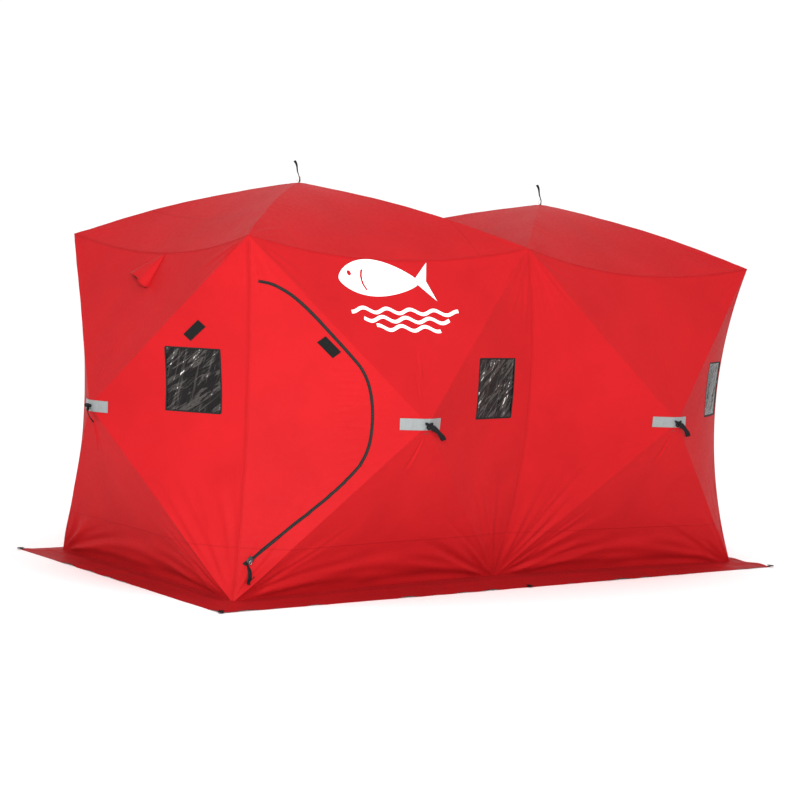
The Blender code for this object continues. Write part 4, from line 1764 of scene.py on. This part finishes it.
class Skirt(ShelterPiece):
    """The snow skirt that lies on the ground all round."""

    width = 0.174
    order = ("front_left", "front_right", "right_end", "back_right", "back_left", "left_end")

    def __init__(self, maker: Maker, panels: Sequence[Panel]) -> None:
        """Find the walls' feet and the skirt's rim."""
        super().__init__(maker)
        named = {panel.name: panel for panel in panels}
        inner, outer = [], []
        for name in self.order:
            wall = named[name]
            along = np.linspace(0, 1, 80, endpoint=False)
            inner.append(wall.cloth(0, along, np.ones(80), -0.004, 0.0))
            start, end = wall.corners[0], wall.corners[1]
            chord = start + (end - start) * along[:, None]
            is_end = name.endswith("end")
            wide = PLAN.bay + self.width, PLAN.depth + self.width
            rim = chord.copy()
            if is_end:
                rim[:, 0] = np.sign(chord[:, 0]) * wide[0]
                rim[:, 1] = chord[:, 1] * wide[1] / PLAN.depth
            else:
                rim[:, 0] = chord[:, 0] * wide[0] / PLAN.bay
                rim[:, 1] = np.sign(chord[:, 1]) * wide[1]
            outer.append(rim)
        self.inner, self.outer = np.vstack(inner), np.vstack(outer)

    def build(self) -> None:
        """Make the skirt and the tabs for snow anchors."""
        count = len(self.inner)
        bm, across, up = grid_mesh(count, 14)
        index = np.rint(across * count).astype(int) % count
        inner, outer = self.inner[index], self.outer[index]
        travel = index / count * 2 * math.pi
        flutter = (0.55 * np.sin(travel * 9 + 1.0) + 0.45 * np.sin(travel * 23 + 0.4)
                   + 0.30 * np.sin(travel * 41 + 2.0))
        places = inner + (outer - inner) * (up + 0.018 * flutter * up ** 2)[:, None]
        ripple = np.maximum(0.0, flutter + 0.4 * np.sin(travel * 61 + up * 3.0))
        fall = 0.019 * (1 - up) ** 2.2 + 0.0025
        places[:, 2] = fall + 0.0085 * ripple * smooth(up / 0.4) * (0.45 + 0.55 * up)
        places[:, 2] += 0.004 * np.exp(-(((up - 0.32 - 0.05 * flutter) / 0.06) ** 2))
        set_places(bm, places)
        length = np.concatenate(([0.0], np.cumsum(np.linalg.norm(np.diff(self.outer, axis=0),
                                                                 axis=1))))
        set_uv(bm, np.stack((length[index], up * self.width), axis=1))
        bmesh.ops.remove_doubles(bm, verts=bm.verts[:], dist=1e-6)
        face_out(bm, np.array((0.0, 0.0, 1.0)))
        area = sheet_area(bm)
        skirt = self.maker.piece(bm, "snow_skirt", "skirt_cloth", [self.finish.skirt], 0.0012)
        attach(skirt, "root")
        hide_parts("skirt")
        for place in range(0, count, 80):
            self.tab(place)

    def tab(self, index: int) -> None:
        """A folded webbing loop at the rim, for an anchor."""
        rim, foot = self.outer[index], self.inner[index]
        away = (rim - foot) * np.array((1, 1, 0))
        away /= np.linalg.norm(away)
        share = np.linspace(0, 1, 20)
        loop = np.stack((-0.020 + 0.036 * np.sin(share * math.pi), 0.004 + 0.007 * share), axis=1)
        path = np.array([rim[0], rim[1], 0.0]) + away * loop[:, :1]
        path[:, 2] = loop[:, 1] + 0.002
        side = np.cross(away, (0, 0, 1))
        piece = self.maker.piece(sweep_mesh(path, side, 0.0125, 0.0011, 0.4, 12),
                                 f"skirt_tab_{index // 80 + 1}", "webbing", [self.finish.strap])
        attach(piece, "root")


class FishPrint(ShelterPiece):
    """The white print on the front: a plain fish over three waves."""

    lift = 0.0012
    wave_width = 0.017
    wave_level = 0.555
    wave_step = 0.042

    def build(self, panel: Panel) -> None:
        """Make the fish and the waves."""
        self.body(panel)
        for level, (start, end) in enumerate(((-0.34, 0.34), (-0.27, 0.27), (-0.20, 0.20))):
            along = np.linspace(start, end, 120)
            height = self.wave_level - self.wave_step * level + 0.011 * np.sin((along + 0.04 * level) * 42)
            path = np.stack((along, height), axis=1)
            bm = band_mesh(panel, path, self.wave_width, self.lift, 3, 0.0, side=Side.TOP.value)
            self.finish_print(bm, f"print_wave_{level + 1}", panel)

    def body(self, panel: Panel) -> None:
        """The fish: a leaf-shaped body with an eye and a gill, and a forked tail."""
        bm, along, up = grid_mesh(150, 60)
        girth = 0.088 * np.sin(math.pi * np.clip(along, 0, 1) ** 0.80) ** 0.75 + 0.010 * along
        right = -0.37 + 0.50 * along
        rise = 0.705 + (up - 0.5) * 2 * girth + 0.012 * np.sin(along * 3.0)
        flat = np.stack((right, rise), axis=1)
        set_places(bm, panel.on_cloth(flat[:, 0], flat[:, 1], self.lift, Side.TOP.value))
        set_uv(bm, flat)
        centres = panel.to_flat(np.array([face.calc_center_median() for face in bm.faces]))
        eye = np.hypot(centres[:, 0] + 0.295, centres[:, 1] - 0.735) < 0.0135
        bow = (centres[:, 0] + 0.225 - 0.9 * (centres[:, 1] - 0.705) ** 2 * 8)
        gill = (np.abs(bow) < 0.0065) & (np.abs(centres[:, 1] - 0.705) < 0.052)
        bm.faces.ensure_lookup_table()
        bmesh.ops.delete(bm, geom=[bm.faces[k] for k in np.nonzero(eye | gill)[0]],
                         context="FACES")
        face_out(bm, panel.normal)
        self.finish_print(bm, "print_fish_body", panel)
        bm, along, up = grid_mesh(40, 30)
        fork = 0.105 * along * (1 - 0.35 * (1 - np.abs(2 * up - 1)))
        right = 0.118 + fork
        rise = 0.712 + (up - 0.5) * (0.020 + 0.175 * along)
        lay_out(bm, panel.on_cloth(right, rise, self.lift, Side.TOP.value),
                np.stack((right, rise), axis=1), panel.normal)
        self.finish_print(bm, "print_fish_tail", panel)

    def finish_print(self, bm: bmesh.types.BMesh, name: str, panel: Panel) -> None:
        """Dress a piece of the print and bake its place into its mesh."""
        piece = self.maker.piece(bm, name, "shelter_cloth", [self.finish.print], 0.0004)
        self.follow(piece, panel, Side.TOP.value)


# ---------------------------------------------------------------- studio


@dataclass(frozen=True)
class Lamp:
    """A square light: where it stands, what it faces, its side in metres and its watts."""

    name: str
    place: tuple[float, float, float]
    aim: tuple[float, float, float]
    size: float
    power: float


LAMPS = (
    Lamp("key", (-7.0, -8.5, 3.4), (-0.5, 0.0, 1.2), 2.6, 1000.0),
    Lamp("top", (1.0, -6.0, 9.0), (0.0, 0.0, 1.0), 4.0, 90.0),
    Lamp("back_fill", (6.0, 8.0, 6.0), (0.0, 0.0, 1.0), 6.0, 60.0),
)
FLOOR_SIDE = 90.0
FLOOR_PALE = (0.95, 0.95, 0.95)
SKY_STRENGTH = 1.06


@dataclass
class Studio:
    """A pale floor, soft lights and the camera."""

    camera_place: tuple[float, float, float] = (-6.45, -8.1325, 1.5455)
    heading: float = 37.901
    pitch: float = -3.415
    roll: float = 2.741
    lens: float = 80.425

    def camera(self) -> None:
        """Set up the camera."""
        data = bpy.data.cameras.new("camera")
        data.lens = self.lens
        data.sensor_width = 36.0
        data.clip_end = 200.0
        camera = bpy.data.objects.new("camera", data)
        bpy.context.scene.collection.objects.link(camera)
        heading, pitch, roll = (math.radians(v) for v in (self.heading, self.pitch, self.roll))
        ahead = Vector((math.sin(heading) * math.cos(pitch), math.cos(heading) * math.cos(pitch),
                        math.sin(pitch)))
        level = Vector((math.cos(heading), -math.sin(heading), 0.0))
        upright = level.cross(ahead)
        right = level * math.cos(roll) + upright * math.sin(roll)
        up = upright * math.cos(roll) - level * math.sin(roll)
        frame = Matrix((right, up, -ahead)).transposed().to_4x4()
        frame.translation = Vector(self.camera_place)
        camera.matrix_world = frame
        bpy.context.scene.camera = camera

    def light(self, lamp: Lamp) -> None:
        """Add a soft square light."""
        data = bpy.data.lights.new(lamp.name, "AREA")
        data.size = lamp.size
        data.energy = lamp.power
        holder = bpy.data.objects.new(lamp.name, data)
        holder.location = lamp.place
        aim = Vector(lamp.aim) - Vector(lamp.place)
        holder.rotation_euler = aim.to_track_quat("-Z", "Y").to_euler()
        bpy.context.scene.collection.objects.link(holder)

    def build(self) -> None:
        """Make the floor, the world and the lights."""
        bm, _, _ = grid_mesh(4, 4)
        bmesh.ops.scale(bm, vec=(FLOOR_SIDE, FLOOR_SIDE, 1.0), verts=bm.verts)
        mesh = bpy.data.meshes.new("floor")
        bm.to_mesh(mesh)
        bm.free()
        floor = bpy.data.objects.new("floor", mesh)
        bpy.context.scene.collection.objects.link(floor)
        graph = Graph("pale_floor")
        graph.set(base_color=FLOOR_PALE, roughness=0.9, specular_ior_level=0.1)
        mesh.materials.append(graph.material)
        world = bpy.data.worlds.new("studio")
        world.use_nodes = True
        back = world.node_tree.nodes["Background"]
        back.inputs["Color"].default_value = (1.0, 1.0, 1.0, 1.0)
        back.inputs["Strength"].default_value = SKY_STRENGTH
        bpy.context.scene.world = world
        for lamp in LAMPS:
            self.light(lamp)
        bpy.context.scene.view_settings.view_transform = "Standard"


# ---------------------------------------------------------------- the shelter


def make_panels() -> list[Panel]:
    """The eight panels, with their folds."""
    panels = [
        Panel("front_left", ((-1, -1), (0, -1)), (0, -1, 0), 0.03),
        Panel("front_right", ((0, -1), (1, -1)), (0, -1, 0)),
        Panel("back_left", ((0, 1), (-1, 1)), (0, 1, 0)),
        Panel("back_right", ((1, 1), (0, 1)), (0, 1, 0)),
        Panel("left_end", ((-1, 1), (-1, -1)), (-1, 0, 0)),
        Panel("right_end", ((1, -1), (1, 1)), (1, 0, 0)),
        Panel("left_roof", ((-1, -1), (0, -1), (0, 1), (-1, 1)), (0, 0, 1)),
        Panel("right_roof", ((0, -1), (1, -1), (1, 1), (0, 1)), (0, 0, 1)),
    ]
    for seed, panel in enumerate(panels):
        fold_panel(panel, seed)
    return panels


def fold_panel(panel: Panel, seed: int) -> None:
    """Give a panel the folds that its springing pulls into it."""
    maker = FoldMaker(11 + seed, panel.flat_corners)
    if panel.is_roof:
        for corner in range(4):
            maker.fan(corner, 12, 0.42, 0.0050, 0.008)
        maker.ladder((-0.80, -0.72), (-0.45, -0.40), 10, (0.08, 0.20), -0.35, 0.0035)
        maker.ladder((0.45, -0.42), (0.82, -0.78), 8, (0.08, 0.18), 0.5, 0.0030)
        panel.folds = maker.folds
        return
    for corner in (0, 1):
        maker.fan(corner, 13, 0.75, 0.0085, 0.012)
    for corner in (2, 3):
        maker.fan(corner, 13, 0.42, 0.0055, 0.008)
    for way in (-1, 1):
        for k, (level, far, tall) in enumerate(((-0.83, 0.15, 0.012), (-0.78, 0.05, 0.011),
                                                (-0.70, -0.12, 0.009), (-0.60, -0.30, 0.006),
                                                (-0.74, 0.35, 0.007))):
            maker.folds.append(Fold((way * (0.80 - 0.03 * k), -0.87 + 0.006 * k),
                                    (way * -far, level), 0.020 + 0.003 * k,
                                    tall * maker.chance.uniform(0.7, 1.1), way * -0.035, 1.4))
    maker.ladder((-0.36, -0.30), (-0.16, -0.08), 7, (0.05, 0.14), 0.05, 0.0035, 0.008)
    maker.ladder((-0.02, 0.10), (0.03, 0.26), 3, (0.10, 0.18), 1.45, 0.0030, 0.006)
    maker.folds.append(Fold((-0.005, -0.06), (-0.055, -0.24), 0.008, -0.008, 0.01, 1.3))
    if panel.name == "front_left":
        maker.ladder((-0.47, 0.30), (-0.42, -0.22), 17, (0.09, 0.20), 0.04, 0.0032, 0.007)
        maker.ladder((-0.43, -0.26), (-0.66, -0.46), 9, (0.07, 0.15), -0.10, 0.0042, 0.008)
        maker.ladder((-0.26, 0.16), (-0.24, 0.02), 4, (0.04, 0.08), 0.1, 0.0025, 0.006)
    panel.folds = maker.folds


def main() -> None:
    """Build the shelter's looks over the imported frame."""
    logging.basicConfig(level=logging.INFO, format="%(name)s %(message)s")
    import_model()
    studio = Studio()
    studio.camera()
    panels = make_panels()
    named = {panel.name: panel for panel in panels}
    maker = Maker(Finishes())
    ClothShell(maker, panels).build()
    Seams(maker, panels).build()
    Windows(maker, panels).build()
    LoopPatches(maker).build(named["left_end"], named["front_left"])
    ZipDoor(maker, named["front_left"]).build()
    HubPulls(maker, panels).build()
    Rods(maker, panels).build()
    CornerPockets(maker, panels).build()
    VentHood(maker, named["left_end"]).build()
    Skirt(maker, panels).build()
    FishPrint(maker).build(named["front_left"])
    studio.build()
    LOG.info("%d pieces", maker.count)


if __name__ == "__main__":
    main()
